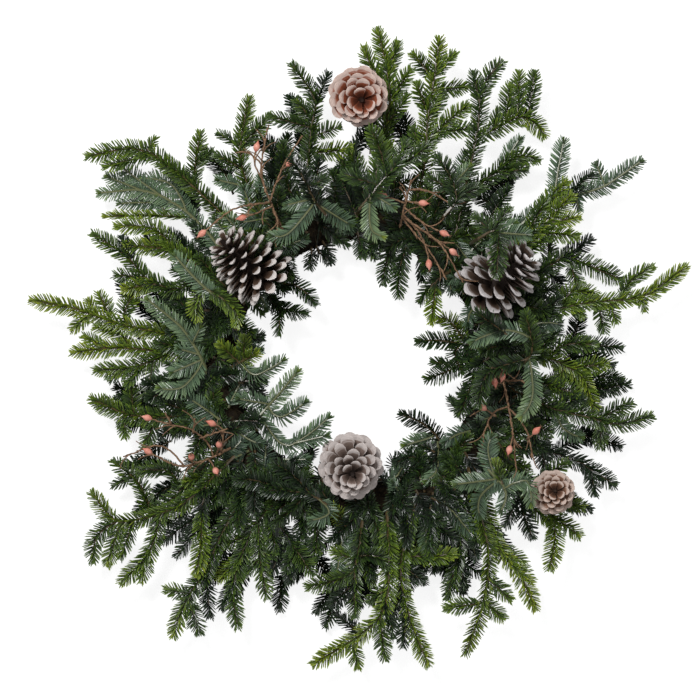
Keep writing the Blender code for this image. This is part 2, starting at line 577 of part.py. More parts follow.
def planted_solid(name, shoot, root, half, hips=()):
    """The solid of a spray or twig cluster: main stem from its root, side shoots, hips."""
    root_place, root_z = root
    places = [root_place] + list(shoot.places)
    heights = [root_z] + list(shoot.z)
    halves = [(half, half)] + list(shoot.halves)
    main = diamond_tube(name, places, heights, halves)
    parts = []
    for number, side in enumerate(shoot.all_shoots()):
        if number > 0:
            parts.append(diamond_tube("side", side.places, side.z, side.halves))
        if number in hips:
            parts.append(hip_solid(side))
    combine(main, parts, "UNION", "MANIFOLD")
    return main


def hip_solid(twig):
    """A plump bud on the end of a twig, in line with it."""
    tip = Vector((*twig.places[-1], twig.z[-1]))
    way = (tip - Vector((*twig.places[-2], twig.z[-2]))).normalized()
    turn = way.to_track_quat("Z", "Y").to_matrix()
    sections = []
    for along_hip, radius in HIP_PROFILE:
        section = []
        for corner in range(HIP_SIDES):
            angle = 2 * math.pi * (corner + 0.5) / HIP_SIDES
            point = Vector((radius * math.cos(angle), radius * math.sin(angle), along_hip))
            section.append(tip + turn @ point)
        sections.append(section)
    return loft("hip", sections)


def moss_section():
    """The ring's D: the arc over the top, then the flat back with a channel for each hoop."""
    steps = [math.pi * step / RING_ARC_STEPS for step in range(RING_ARC_STEPS + 1)]
    section = [(RING_HALF_WIDTH * math.cos(angle), RING_HEIGHT * math.sin(angle)) for angle in steps]
    section[-1] = (-RING_HALF_WIDTH, 0.0)
    room = FRAME_WIRE + GAP
    for radius in HOOP_RADII:
        middle = radius - RING_RADIUS
        section += [(middle - room, 0.0), (middle - room, FRAME_LIFT + room),
                    (middle + room, FRAME_LIFT + room), (middle + room, 0.0)]
    return section


def ring_body(name, section):
    """A closed ring: (outward, up) points turned round the ring's centre."""
    sections = []
    for step in range(RING_SEGMENTS):
        turn = 360.0 * step / RING_SEGMENTS
        sections.append([(*ring_point(turn, RING_RADIUS + out), up) for out, up in section])
    return loft(name, sections, closed=True)


def hoop(radius):
    """One hoop of the wire frame."""
    section = []
    for side in range(WIRE_SIDES):
        angle = 2 * math.pi * side / WIRE_SIDES
        section.append((radius - RING_RADIUS + FRAME_WIRE * math.cos(angle),
                        FRAME_LIFT + FRAME_WIRE * math.sin(angle)))
    return ring_body("wire_frame", section)


def moss_base(stems):
    """The moss ring with channels for both wires in its back and a hole for each stem."""
    moss = ring_body("moss_base", moss_section())
    cutters = []
    for number in range(FRAME_BARS):
        cutters.append(frame_bar("channel", number, 0.0, FRAME_BAR_HALF + GAP, BELOW_BACK,
                                 FRAME_LIFT + FRAME_BAR_HALF + GAP))
    combine(moss, cutters, "DIFFERENCE")
    cutters = []
    for inner, outer in binding_crossings():
        cutters.append(plan_bar("channel", inner, outer, CHANNEL_PAST_RING, BINDING_WIRE + BINDING_SIDE_ROOM,
                                BELOW_BACK, BACK_GROOVE))
    combine(moss, cutters, "DIFFERENCE")
    cutters = [stem_hole(*stem) for stem in stems]
    combine(moss, cutters, "DIFFERENCE")
    return moss


def stem_hole(start, start_z, end, end_z, half):
    """The hole that a stem leaves in the moss, a little larger than the stem."""
    way = (end - start) / np.linalg.norm(end - start)
    rise = (end_z - start_z) / np.linalg.norm(end - start)
    room = half + HOLE_ROOM
    tall = half + HOLE_ROOM * math.sqrt(1 + rise * rise)
    places = [start - way * GAP, end + way * GAP]
    heights = [start_z - GAP * rise, end_z + GAP * rise]
    return diamond_tube("hole", places, heights, [(room, tall), (room, tall)])


def plan_bar(name, start, end, extra, half_width, low, high):
    """A straight bar of rectangular section between two plan places, longer by extra at each end."""
    way = (end - start) / np.linalg.norm(end - start)
    across = np.array((-way[1], way[0])) * half_width
    sections = []
    for middle in (start - way * extra, end + way * extra):
        left = middle + across
        right = middle - across
        sections.append(((*left, low), (*right, low), (*right, high), (*left, high)))
    return loft(name, sections)


def frame_bar(name, number, past_hoops, half_width, low, high):
    """A bar from the inner hoop to the outer one, or the channel for it."""
    degrees = 360.0 * (number + 0.5) / FRAME_BARS
    inner = ring_point(degrees, HOOP_RADII[0] - past_hoops)
    outer = ring_point(degrees, HOOP_RADII[1] + past_hoops)
    return plan_bar(name, inner, outer, 0.0, half_width, low, high)


def wire_frame():
    """Two hoops joined by short bars."""
    hoops = [hoop(radius) for radius in HOOP_RADII]
    bars = []
    for number in range(FRAME_BARS):
        bars.append(frame_bar("bar", number, FRAME_BAR_INTO_HOOP, FRAME_BAR_HALF,
                              FRAME_LIFT - FRAME_BAR_HALF, FRAME_LIFT + FRAME_BAR_HALF))
    combine(hoops[0], [hoops[1]] + bars, "UNION")
    return hoops[0]


def binding_angle(turn):
    """Where round the ring a turn of the binding wire starts, in degrees."""
    return BINDING_START + 360.0 * turn / BINDING_TURNS


def binding_points():
    """The wire's way round the ring: over the top from outside to inside, then back below it."""
    points = []
    side = RING_HALF_WIDTH + BINDING_ROOM
    for turn in range(BINDING_TURNS):
        start = binding_angle(turn)
        points.append((*ring_point(start, RING_RADIUS + side), BINDING_FOOT))
        for step in range(RING_ARC_STEPS + 1):
            share = step / RING_ARC_STEPS
            angle = math.pi * share
            up = max((RING_HEIGHT + BINDING_ROOM) * math.sin(angle), 4.0)
            place = ring_point(start + BINDING_LEAN * share, RING_RADIUS + side * math.cos(angle))
            points.append((*place, up))
        points.append((*ring_point(start + BINDING_LEAN, RING_RADIUS - side), BINDING_FOOT))
    return points


def binding_crossings():
    """Plan ends of each stretch that passes under the ring."""
    side = RING_HALF_WIDTH + BINDING_ROOM
    for turn in range(BINDING_TURNS - 1):
        yield (ring_point(binding_angle(turn) + BINDING_LEAN, RING_RADIUS - side),
               ring_point(binding_angle(turn + 1), RING_RADIUS + side))


def binding_wire(heap):
    """The wire that binds the moss to its frame, one curve."""
    points = binding_points()
    curve = bpy.data.curves.new("binding_wire", "CURVE")
    curve.dimensions = "3D"
    curve.bevel_depth = BINDING_WIRE * MM
    curve.bevel_resolution = 0
    curve.use_fill_caps = True
    spline = curve.splines.new("POLY")
    spline.points.add(len(points) - 1)
    for spot, point in zip(spline.points, points):
        spot.co = (*(Vector(point) * MM), 1.0)
    for start, end in zip(points, points[1:]):
        if max(start[2], end[2]) > BACK_GROOVE:
            for t in np.linspace(0, 1, 8):
                place = np.array(start) * (1 - t) + np.array(end) * t
                heap.raise_to(place[0], place[1], BINDING_WIRE, place[2] + BINDING_WIRE)
    return add_object("binding_wire", curve)


def cone_profile(length, radius):
    """(along, radius) points of a tiered pine cone, from its flat base to its tip."""
    profile = [(-0.02 * length, 0.30 * radius)]
    for tier in range(CONE_TIERS):
        low = tier / CONE_TIERS
        swell = math.sin(math.pi * (0.30 + 0.66 * low)) ** 0.8
        profile.append(((low + 0.03) * length, radius * (swell - CONE_TIER_DEPTH * swell)))
        profile.append(((low + 0.11) * length, radius * swell))
    profile.append((length, 0.10 * radius))
    return profile


def cone_solid(name, place, diameter, length, way):
    """A tiered cone about its own middle, its tip along the given way, at a plan place."""
    turn = Vector(way).normalized().to_track_quat("Z", "Y").to_matrix()
    sections = []
    for along_cone, radius in cone_profile(length, diameter / 2):
        section = []
        for side in range(CONE_SIDES):
            angle = 2 * math.pi * side / CONE_SIDES
            point = Vector((radius * math.cos(angle), radius * math.sin(angle), along_cone - length / 2))
            section.append(Vector((*place, 0.0)) + turn @ point)
        sections.append(section)
    return loft(name, sections)


def world_tree(objects, lift=0.0):
    """One search tree over the faces of some meshes, in millimetres."""
    points = []
    faces = []
    for obj in objects:
        first = len(points)
        points += [vertex.co / MM + Vector((0, 0, lift)) for vertex in obj.data.vertices]
        faces += [[first + corner for corner in face.vertices] for face in obj.data.polygons]
    return BVHTree.FromPolygons(points, faces)


def drop(obj, pile, heap):
    """Lowers a solid from above until it rests on the pile, a gap short of touching."""
    low = min(vertex.co.z for vertex in obj.data.vertices) / MM
    lift = DROP_FROM - low
    rest = world_tree(pile)
    while lift + low > 1.0 and not world_tree([obj], lift - 1.0).overlap(rest):
        lift -= 1.0
    step = 0.5
    while step > 0.01:
        if not world_tree([obj], lift - step).overlap(rest):
            lift -= step
        step *= 0.5
    obj.data.transform(Matrix.Translation((0, 0, (lift + GAP) * MM)))
    for face in obj.data.polygons:
        corners = [obj.data.vertices[number].co / MM for number in face.vertices]
        middle = sum(corners, Vector()) / len(corners)
        for corner in corners + [middle] + [(corner + middle) / 2 for corner in corners]:
            heap.raise_to(corner.x, corner.y, 2.5, corner.z + 0.5)


# --- the wreath -----------------------------------------------------------------------------------

class Wreath:
    """The pieces made so far, the heap that they form, and the stems' places in the moss."""

    def __init__(self):
        self.heap = Heap()
        self.pieces = []
        self.stems = []

    def keep(self, obj, look, smooth=False):
        """Gives a piece its material and shading, and keeps it."""
        obj.data.materials.clear()
        obj.data.materials.append(material(obj.name + "_look", *LOOKS[look]))
        if smooth:
            obj.data.shade_smooth()
        self.pieces.append(obj)

    def grow(self, name, look, half, full, woody, tip_z, points, side_shoots, hips=()):
        """Plants a spray, twig cluster or cone wire and makes its solid."""
        shoot, root = plant(self.heap, tip_z, points, side_shoots, half, full, woody)
        self.stems.append((root[0], root[1], shoot.places[0], shoot.z[0], half))
        self.keep(planted_solid(name, shoot, root, half, hips), look)
        for number, twig in enumerate(shoot.all_shoots()):
            if number in hips:
                end = twig.places[-1] + (twig.places[-1] - twig.places[-2]) * HIP_AHEAD
                top = twig.z[-1] + HIP_PROFILE[2][1] + HIP_HEIGHT_ROOM
                self.heap.raise_to(end[0], end[1], HIP_PROFILE[2][1] + HIP_SIDE_ROOM, top)

    def grow_sprays(self, sprays, woody):
        """Plants a group of sprays, one after another."""
        for name, tip_z, points, side_shoots in sprays:
            self.grow(name, "spray", STEM_HALF, (FOLIAGE_HALF_WIDTH, FOLIAGE_HALF_HEIGHT), woody,
                      tip_z, points, side_shoots)

    def grow_cone_wire(self, name, place):
        """Plants the wire of the cone at that place, from the ring to under the cone."""
        angle = math.degrees(math.atan2(place[1] - RING_Y, place[0] - RING_X))
        radius = math.hypot(place[0] - RING_X, place[1] - RING_Y)
        radius = min(max(radius, RING_RADIUS - CONE_WIRE_SPREAD), RING_RADIUS + CONE_WIRE_SPREAD)
        start = tuple(ring_point(angle + CONE_WIRE_TURN, radius))
        self.grow(name + "_wire", "binding", CONE_WIRE_HALF, (CONE_WIRE_HALF, CONE_WIRE_HALF),
                  CONE_WIRE_TIP, CONE_WIRE_BARE, (start, place), ())

    def set_cones(self):
        """Lowers each cone onto what is there."""
        ring = ring_body("ring", moss_section())
        pile = [obj for obj in self.pieces if obj.type == "MESH"] + [ring]
        for cone in CONES:
            obj = cone_solid(*cone)
            drop(obj, pile, self.heap)
            self.keep(obj, "cone", smooth=True)
            pile.append(obj)
        bpy.data.objects.remove(ring, do_unlink=True)


def build():
    """Makes every piece, in the order in which they lie over each other."""
    clear_scene()
    wreath = Wreath()
    wreath.keep(binding_wire(wreath.heap), "binding")
    wreath.keep(wire_frame(), "steel", smooth=True)
    wreath.grow_sprays(LOW_SPRAYS, OUTER_BARE_STEM)
    wreath.grow_sprays(HIGH_SPRAYS, OUTER_BARE_STEM)
    for name, place, *_ in CONES:
        wreath.grow_cone_wire(name, place)
    wreath.grow_sprays(INNER_SPRAYS, INNER_BARE_STEM)
    wreath.set_cones()
    for name, tip_z, points, side_twigs in TWIGS:
        wreath.grow(name, "twig", TWIG_HALF, (TWIG_HALF, TWIG_HALF), TWIG_BARE, tip_z, points, side_twigs,
                    HIPS[name])
    wreath.grow_sprays(FACE_SPRAYS, INNER_BARE_STEM)
    wreath.keep(moss_base(wreath.stems), "moss")
    centre(wreath.pieces)


def centre(objects):
    """Moves everything so that the origin is the middle of the base of the whole."""
    bpy.context.view_layer.update()
    corners = []
    for obj in objects:
        corners += [obj.matrix_world @ Vector(corner) for corner in obj.bound_box]
    lows = [min(corner[axis] for corner in corners) for axis in range(3)]
    highs = [max(corner[axis] for corner in corners) for axis in range(3)]
    shift = Vector((-(lows[0] + highs[0]) / 2, -(lows[1] + highs[1]) / 2, -lows[2]))
    for obj in objects:
        obj.location = shift
    print("shift", [round(value / MM, 3) for value in shift], "size",
          [round((high - low) / MM, 1) for low, high in zip(lows, highs)])


build()
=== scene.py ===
"""The look of the fresh evergreen wreath: needles, cones, twigs with hips and moss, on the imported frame."""
import math

import bpy
import numpy as np
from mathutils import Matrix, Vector
from mathutils.bvhtree import BVHTree


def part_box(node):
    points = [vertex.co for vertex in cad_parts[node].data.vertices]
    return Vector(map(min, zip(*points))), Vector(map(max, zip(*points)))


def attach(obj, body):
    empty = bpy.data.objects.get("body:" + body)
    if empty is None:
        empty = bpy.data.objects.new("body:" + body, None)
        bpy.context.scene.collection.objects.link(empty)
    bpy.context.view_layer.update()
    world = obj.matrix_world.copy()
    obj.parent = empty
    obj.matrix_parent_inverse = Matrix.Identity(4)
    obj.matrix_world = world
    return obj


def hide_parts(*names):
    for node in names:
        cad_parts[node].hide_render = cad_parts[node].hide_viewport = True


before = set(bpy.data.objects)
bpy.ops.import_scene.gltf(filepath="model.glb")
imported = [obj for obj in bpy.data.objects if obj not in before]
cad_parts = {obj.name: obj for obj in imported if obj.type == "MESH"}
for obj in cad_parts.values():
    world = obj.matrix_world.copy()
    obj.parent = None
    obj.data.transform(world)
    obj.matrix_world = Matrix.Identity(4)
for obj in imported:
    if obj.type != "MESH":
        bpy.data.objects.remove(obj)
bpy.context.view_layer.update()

# The model's own sizes, in millimetres.
MM = 0.001
RING_X, RING_Y = -1.5, -10.0
RING_RADIUS = 135.0
RING_HALF_WIDTH = 22.0
RING_HEIGHT = 38.0
SHOULDER = 9.0
TIP_LENGTH = 7.0
STATION_STEP = 30.0
OUTER_BARE_STEM = 32.0
INNER_BARE_STEM = 10.0
TWIG_BARE_STEM = 6.0
ROOT_RUN = 7.0
LEAST_REACH = 15.0
UP = (0.0, 0.0, 1.0)
OFF_EDGE = np.array((0.11, 0.07))   # aside from the ridge of a stem's solid, where a ray could slip through

# Plan points in millimetres: name, main stem, and side shoots.  A side shoot has its place as a share
# of its stem, its plan points, and a list of its own side shoots if it bears any.
LOW_SPRAYS = (
    ("spray_low_1", ((84, -113), (92, -150), (92, -188), (82, -229)), ((.62, (97, -219)), (.5, (109, -190)),
     (.45, (72, -178), (69, -203)), (.4, (55, -175), (57, -205)))),
    ("spray_low_2", ((120, 48), (165, 72), (192, 87), (216, 78), (244, 66)), ((.5, (214, 103)),
     (.6, (204, 56), (214, 52)), (.42, (176, 106)))),
    ("spray_low_3", ((-110, 70), (-152, 122), (-195, 148), (-241, 147)), ((.72, (-234, 162)),
     (.62, (-222, 171)), (.55, (-205, 138), (-222, 137)), (.45, (-172, 158), (-200, 160)),
     (.4, (-185, 125), (-235, 125), [(.3, (-187, 142))]))),
    ("spray_low_4", ((-118, -78), (-160, -125), (-192, -150), (-205, -122), (-228, -103)), (
     (.86, (-227, -124)), (.4, (-175, -108), (-204, -112)), (.68, (-176, -160)))),
)
HIGH_SPRAYS = (
    ("spray_top_1", ((12, 126), (18, 180), (28, 228), (25, 262), (17, 295)), ((.66, (12, 258), (5, 278)),
     (.74, (35, 283)), (.6, (46, 258)), (.5, (12, 222)), (.45, (44, 235)))),
    ("spray_top_2", ((47, 116), (60, 172), (63, 215), (69, 252), (74, 287)), ((.78, (50, 273)),
     (.8, (87, 274)), (.72, (99, 244)), (.58, (53, 245)), (.55, (77, 238)),
     (.4, (76, 208), (99, 226), [(.3, (103, 206))]), (.35, (50, 205)))),
    ("spray_top_3", ((86, 96), (100, 160), (109, 205), (113, 244), (131, 267)), ((.74, (105, 256)),
     (.55, (128, 206), (150, 218), (162, 214), (171, 199), [(.22, (129, 222)), (.4, (139, 245)), (.56,
      (148, 257)), (.7, (162, 256))]),
     (.24, (126, 165), (146, 182), (165, 177), [(.5, (148, 196)), (.45, (154, 168))]))),
    ("spray_right_1", ((108, 72), (150, 118), (185, 140), (222, 150), (260, 175)), ((.78, (219, 173)),
     (.55, (214, 162)), (.5, (183, 165), (189, 194)), (.4, (191, 156)), (.62, (203, 131)))),
    ("spray_right_2", ((116, 60), (150, 98), (172, 117), (201, 123)), ((.66, (194, 142)), (.6, (200, 106)),
     (.45, (170, 138)))),
    ("spray_right_3", ((131, 18), (180, 38), (222, 46), (262, 50), (302, 78)), (
     (.62, (250, 66), (270, 77)), (.5, (226, 19)), (.56, (237, 28)), (.72, (263, 40)),
     (.3, (196, 58), (218, 51)), (.36, (206, 32)))),
    ("spray_right_4", ((134, -4), (168, -5), (198, -17), (211, -34), (217, -59)), ((.51, (228, -12)),
     (.47, (182, -36)), (.29, (190, 8), (218, 5)), (.23, (178, 22)))),
    ("spray_right_5", ((132, -30), (175, -52), (215, -62), (240, -68), (269, -61)), ((.62, (250, -48)),
     (.66, (222, -87)), (.36, (186, -72), (205, -80)), (.34, (193, -46)), (.52, (206, -45)),
     (.16, (162, -84), (190, -98), (213, -108), (218, -132), [(.74, (235, -123)), (.36, (172, -108))]))),
    ("spray_foot_1", ((119, -74), (150, -113), (176, -145), (181, -170), (176, -200)), ((.62, (202, -170)),
     (.5, (205, -144)), (.42, (178, -112), (190, -104)),
     (.3, (150, -145), (160, -172), [(.3, (135, -160)), (.35, (174, -158))]))),
    ("spray_foot_2", ((104, -96), (117, -148), (130, -186), (149, -206), (162, -237)), ((.66, (159, -212)),
     (.55, (152, -195)), (.45, (104, -178)), (.4, (130, -168)))),
    ("spray_foot_3", ((96, -104), (111, -150), (119, -187), (117, -216), (112, -242), (98, -280)), (
     (.58, (139, -229)), (.7, (132, -247)), (.72, (80, -238)))),
    ("spray_foot_4", ((55, -131), (43, -170), (38, -210), (47, -248), (63, -288)), ((.66, (40, -272)),
     (.5, (31, -249)), (.4, (57, -211)), (.34, (68, -190), (86, -187)))),
    ("spray_foot_5", ((32, -139), (27, -190), (24, -236), (4, -260), (-13, -272), (-42, -290)), (
     (.7, (-21, -245)), (.76, (-2, -292)), (.55, (23, -282)), (.46, (31, -262)), (.4, (10, -230)))),
    ("spray_foot_6", ((4, -146), (0, -180), (-5, -207), (-4, -243)), ((.45, (-24, -184)),
     (.55, (-22, -212), (-47, -217)), (.66, (-26, -235)), (.4, (18, -188), (24, -200)))),
    ("spray_foot_7", ((-66, -128), (-96, -160), (-112, -198), (-117, -225), (-113, -253)), (
     (.5, (-129, -211)), (.66, (-127, -237)), (.36, (-126, -178)),
     (.24, (-92, -190), (-86, -226), [(.45, (-70, -185)), (.5, (-104, -206))]),
     (.16, (-62, -178), (-65, -212), [(.4, (-82, -206)), (.35, (-44, -204))]))),
    ("spray_foot_8", ((-92, -112), (-124, -163), (-142, -204), (-157, -226), (-148, -261)), (
     (.76, (-165, -240), (-172, -263)), (.76, (-177, -221)), (.6, (-138, -244)))),
    ("spray_left_1", ((-110, -92), (-156, -136), (-190, -152), (-226, -157), (-247, -131)), (
     (.78, (-245, -170), (-246, -193)), (.76, (-233, -197)), (.68, (-221, -190)),
     (.52, (-195, -188), (-220, -214), [(.5, (-202, -212))]),
     (.22, (-150, -163), (-168, -189), [(.4, (-182, -175)), (.3, (-146, -182), (-150, -205))]))),
    ("spray_left_2", ((-131, -50), (-168, -60), (-200, -61), (-223, -56), (-248, -44)), ((.7, (-217, -79)),
     (.62, (-211, -32)), (.42, (-199, -88)))),
    ("spray_left_3", ((-137, -4), (-185, 0), (-225, 3), (-265, -1)), ((.74, (-254, 13)),
     (.56, (-222, 18), (-243, 22)),
     (.24, (-205, -14), (-243, -18), [(.55, (-230, -26)), (.4, (-214, -30)), (.25, (-196, -36))]))),
    ("spray_left_4", ((-134, 12), (-182, 17), (-225, 26), (-262, 39), (-302, 47)), ((.66, (-265, 21)),
     (.54, (-240, 52)), (.62, (-250, 47)), (.44, (-218, 34), (-207, 56)))),
    ("spray_left_5", ((-120, 56), (-158, 84), (-184, 95), (-214, 97)), ((.45, (-190, 113), (-224, 115)),
     (.25, (-165, 56), (-195, 66), (-213, 86), (-244, 107), [(.5, (-224, 70)), (.66, (-218, 103)), (.4,
      (-217, 57))]))),
    ("spray_left_6", ((-96, 88), (-143, 142), (-174, 170), (-205, 187), (-249, 180)), ((.72, (-189, 196)),
     (.68, (-234, 171)), (.48, (-184, 176)), (.42, (-152, 172), (-147, 200), [(.45, (-137, 183))]))),
    ("spray_top_4", ((-76, 104), (-98, 140), (-110, 175), (-108, 205), (-102, 233)), ((.66, (-129, 200)),
     (.5, (-131, 180)), (.66, (-83, 216)), (.36, (-130, 158)),
     (.22, (-78, 160), (-80, 191), [(.45, (-64, 184))]))),
    ("spray_top_5", ((-38, 120), (-48, 163), (-44, 205), (-41, 233), (-61, 263)), ((.7, (-29, 255)),
     (.56, (-81, 216)), (.6, (-57, 230)), (.4, (-28, 184), (-9, 187)), (.5, (-20, 206)))),
)
INNER_SPRAYS = (
    ("spray_in_1", ((-104, 58), (-86, 66), (-60, 64), (-42, 45)), ((.3, (-76, 88)),
     (.22, (-80, 40), (-51, 35), [(.3, (-81, 52)), (.45, (-74, 17))]))),
    ("spray_in_2", ((-124, -18), (-104, -12), (-94, -2)), ((.45, (-106, 12)), (.4, (-96, -26), (-70, -8)),
     (.3, (-128, 6)))),
    ("spray_in_3", ((-106, -74), (-92, -62), (-76, -42), (-57, -19)), ((.4, (-112, -44)),
     (.36, (-72, -64), (-50, -47)), (.2, (-74, -88), (-50, -80), (-29, -62), [(.55, (-30, -78))]))),
    ("spray_in_4", ((88, -96), (80, -82), (62, -68), (38, -58)), ((.35, (66, -80), (41, -87)),
     (.24, (72, -104), (50, -96), (34, -103)), (.3, (74, -108), (62, -119)))),
    ("spray_in_5", ((122, 4), (98, 6), (76, 10), (54, 9)), ((.35, (88, -4), (95, -19)),
     (.25, (96, -14), (62, -26), [(.5, (68, -10))]), (.2, (106, -20), (100, -40), (92, -59)),
     (.25, (84, 28), (72, 30)))),
    ("spray_in_6", ((86, 84), (76, 78), (68, 62), (56, 46)), ((.45, (68, 40), (66, 27)), (.5, (74, 56)),
     (.2, (50, 104), (30, 98), (24, 78), (22, 64), [(.5, (36, 72), (36, 51))]))),
)
FACE_SPRAYS = (
    ("spray_face_1", ((-30, 118), (-42, 138), (-50, 156), (-62, 174)), ((.3, (-66, 133)), (.2, (-8, 115)),
     (.5, (-30, 157)), (.25, (-62, 106), (-79, 104)))),
    ("spray_face_2", ((-4, 124), (14, 146), (32, 168), (42, 192)), ((.22, (30, 131)),
     (.2, (8, 112), (20, 104)), (.55, (62, 186)), (.5, (18, 186), (10, 200)), (.35, (-14, 160)))),
    ("spray_face_3", ((76, 108), (88, 138), (84, 158), (70, 176)), ((.5, (100, 168)), (.35, (108, 148)),
     (.45, (62, 158)))),
    ("spray_face_4", ((104, 96), (122, 108), (124, 90), (122, 68)), ((.3, (150, 104)), (.25, (104, 120)),
     (.2, (134, 128)))),
    ("spray_face_5", ((142, -30), (157, 2), (150, 34)), ((.5, (170, 16)),
     (.55, (130, 22), (102, 8), [(.4, (106, 34))]), (.2, (160, -40), (148, -59)),
     (.15, (116, -20), (108, -48)))),
    ("spray_face_6", ((100, -112), (118, -118), (134, -128), (128, -146)), ((.25, (88, -122)),
     (.5, (154, -112), (155, -138)), (.3, (108, -132), (110, -151)), (.4, (124, -102)),
     (.2, (116, -92), (120, -78)))),
    ("spray_face_7", ((-30, -140), (-48, -130), (-66, -128), (-87, -128)), ((.3, (-62, -112), (-80, -103)),
     (.15, (-24, -150), (-44, -155)), (.55, (-96, -118), (-113, -118)), (.35, (-62, -146), (-78, -158)))),
    ("spray_face_8", ((-138, -28), (-146, -6), (-162, 20), (-194, 47)), ((.35, (-146, 21)),
     (.16, (-172, -20)), (.22, (-166, 2)), (.14, (-160, -36), (-183, -34)))),
    ("spray_face_9", ((-118, 40), (-128, 52), (-148, 64), (-168, 87)), ((.3, (-112, 40), (-112, 24)),
     (.35, (-150, 42), (-148, 30)))),
)

# Name, diameter, length, and the way that the tip points.
CONES = (
    ("cone_top", 53, 50, (0.1, -0.22, 1)),
    ("cone_left", 61, 70, (-0.62, 0.56, 0.42)),
    ("cone_foot", 58, 56, (0.05, -0.2, 1)),
    ("cone_right", 66, 68, (0.6, 0.55, 0.3)),
    ("cone_small", 40, 36, (0.02, 0.1, 1)),
)

# Dried twigs: as the sprays.  A twig named in HIPS bears a hip at its tip.
TWIGS = (
    ("twigs_left", ((-84, 98), (-84, 124), (-89, 155), (-88, 183), (-83, 206)), ((.62, (-101, 181)),
     (.45, (-96, 170), (-94, 184)), (.26, (-78, 148), (-68, 172), (-52, 196), [(.45, (-63, 171))]),
     (.16, (-74, 116), (-76, 106)), (.2, (-96, 124), (-106, 121)), (.24, (-114, 128), (-142, 106)))),
    ("twigs_top", ((30, 112), (38, 132), (47, 157)), ((.35, (58, 116), (76, 108)),
     (.2, (56, 108), (61, 96), (63, 80)), (.75, (65, 146), (86, 131)), (.45, (22, 141)), (.5, (58, 134)),
     (.15, (72, 98), (94, 61), [(.35, (86, 90))]), (.12, (66, 88), (80, 63)))),
    ("twigs_foot", ((-112, -90), (-136, -98), (-165, -106), (-192, -92)), (
     (.2, (-140, -82), (-152, -72), (-170, -68), (-194, -61), [(.3, (-120, -71)), (.4, (-150, -60)), (.7,
      (-178, -55))]), (.15, (-128, -84)), (.1, (-124, -72), (-135, -66)), (.45, (-153, -97)),
     (.55, (-180, -86), (-217, -97)), (.25, (-131, -109)))),
    ("twigs_right", ((131, 3), (142, -18), (136, -45), (141, -80), (143, -112)), (
     (.1, (134, -12), (130, -23)), (.08, (120, -14), (123, -27)),
     (.4, (120, -57), (112, -74), (113, -94), [(.3, (113, -52))]),
     (.42, (155, -72), (157, -98), [(.65, (161, -73))]), (.66, (137, -89)), (.16, (153, -27)))),
)
HIPS = {
    "twigs_left": (2, 4, 5, 6, 7),
    "twigs_top": (1, 2, 4, 5, 7),
    "twigs_foot": (0, 1, 5, 6, 7, 9),
    "twigs_right": (1, 2, 4, 6, 7),
}

# Plan places of tips that stand out: bright new growth, dark shoots, and shoots with their pale
# undersides up.  GAPS are places where the background shows.
BRIGHT = ((-167, 108), (-224, 115), (-214, 97), (-207, 56), (-254, 13), (-243, 22), (-265, -1), (-240, 28),
          (-94, -2), (-106, 12), (-128, 6), (-140, 30), (194, 142), (201, 123), (200, 106), (191, 156),
          (162, 90), (182, -36), (217, -59), (228, -12), (86, -187), (159, -212), (-24, -184), (-129, -211),
          (-150, -205), (27, -165), (66, 27), (-9, 187), (72, 222), (98, -280), (122, -115), (-145, -160),
          (-302, 47), (-250, 47), (302, 78), (63, -288), (-42, -290), (17, 295), (74, 287))
DARK = ((214, 162), (97, -219), (-65, -212), (-82, -206), (160, -172), (135, -160), (-127, -237), (-80, 191),
        (-64, 184), (-29, 255), (-26, -235), (31, -262), (214, 103), (-182, -175), (-168, -189), (57, -211),
        (-218, 103), (218, -132), (235, -123), (172, -108), (109, -190), (69, -203))
PALE = ((148, 196), (219, 173), (203, 131), (30, 131), (20, 104), (100, 168), (-187, 142), (-146, 21),
        (-194, 47), (-168, 87), (-172, -20), (-183, -34), (-44, -155), (-120, -157), (21, -129), (88, -122),
        (155, -138), (128, -146), (148, -59), (205, -80), (-57, -19), (-70, -8), (-79, 104), (-66, 133),
        (-8, 115), (102, 8), (150, 104), (62, -119), (41, -87), (-130, 158), (-230, -26), (-112, -44))
GAPS = ((-190, 138), (-140, 150), (-105, 143), (125, 175), (195, 150), (185, 92), (205, 68), (55, 155),
        (78, 145), (117, 108), (172, -2), (-205, 28), (-195, 83), (-215, -8), (-130, -110), (-155, -95),
        (-80, -138), (205, -65), (135, -155))
MARK_REACH = 15.0

rng = np.random.default_rng(20)

base_low, base_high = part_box("moss_base")
SHIFT = np.array(((base_low[0] + base_high[0]) / 2 / MM - RING_X,
                  (base_low[1] + base_high[1]) / 2 / MM - RING_Y))


# --- materials

def linear(red, green, blue):
    """The scene colour of a display colour."""
    made = []
    for value in (red, green, blue):
        value = value / 255
        made.append(value / 12.92 if value <= 0.04045 else ((value + 0.055) / 1.055) ** 2.4)
    return (*made, 1.0)


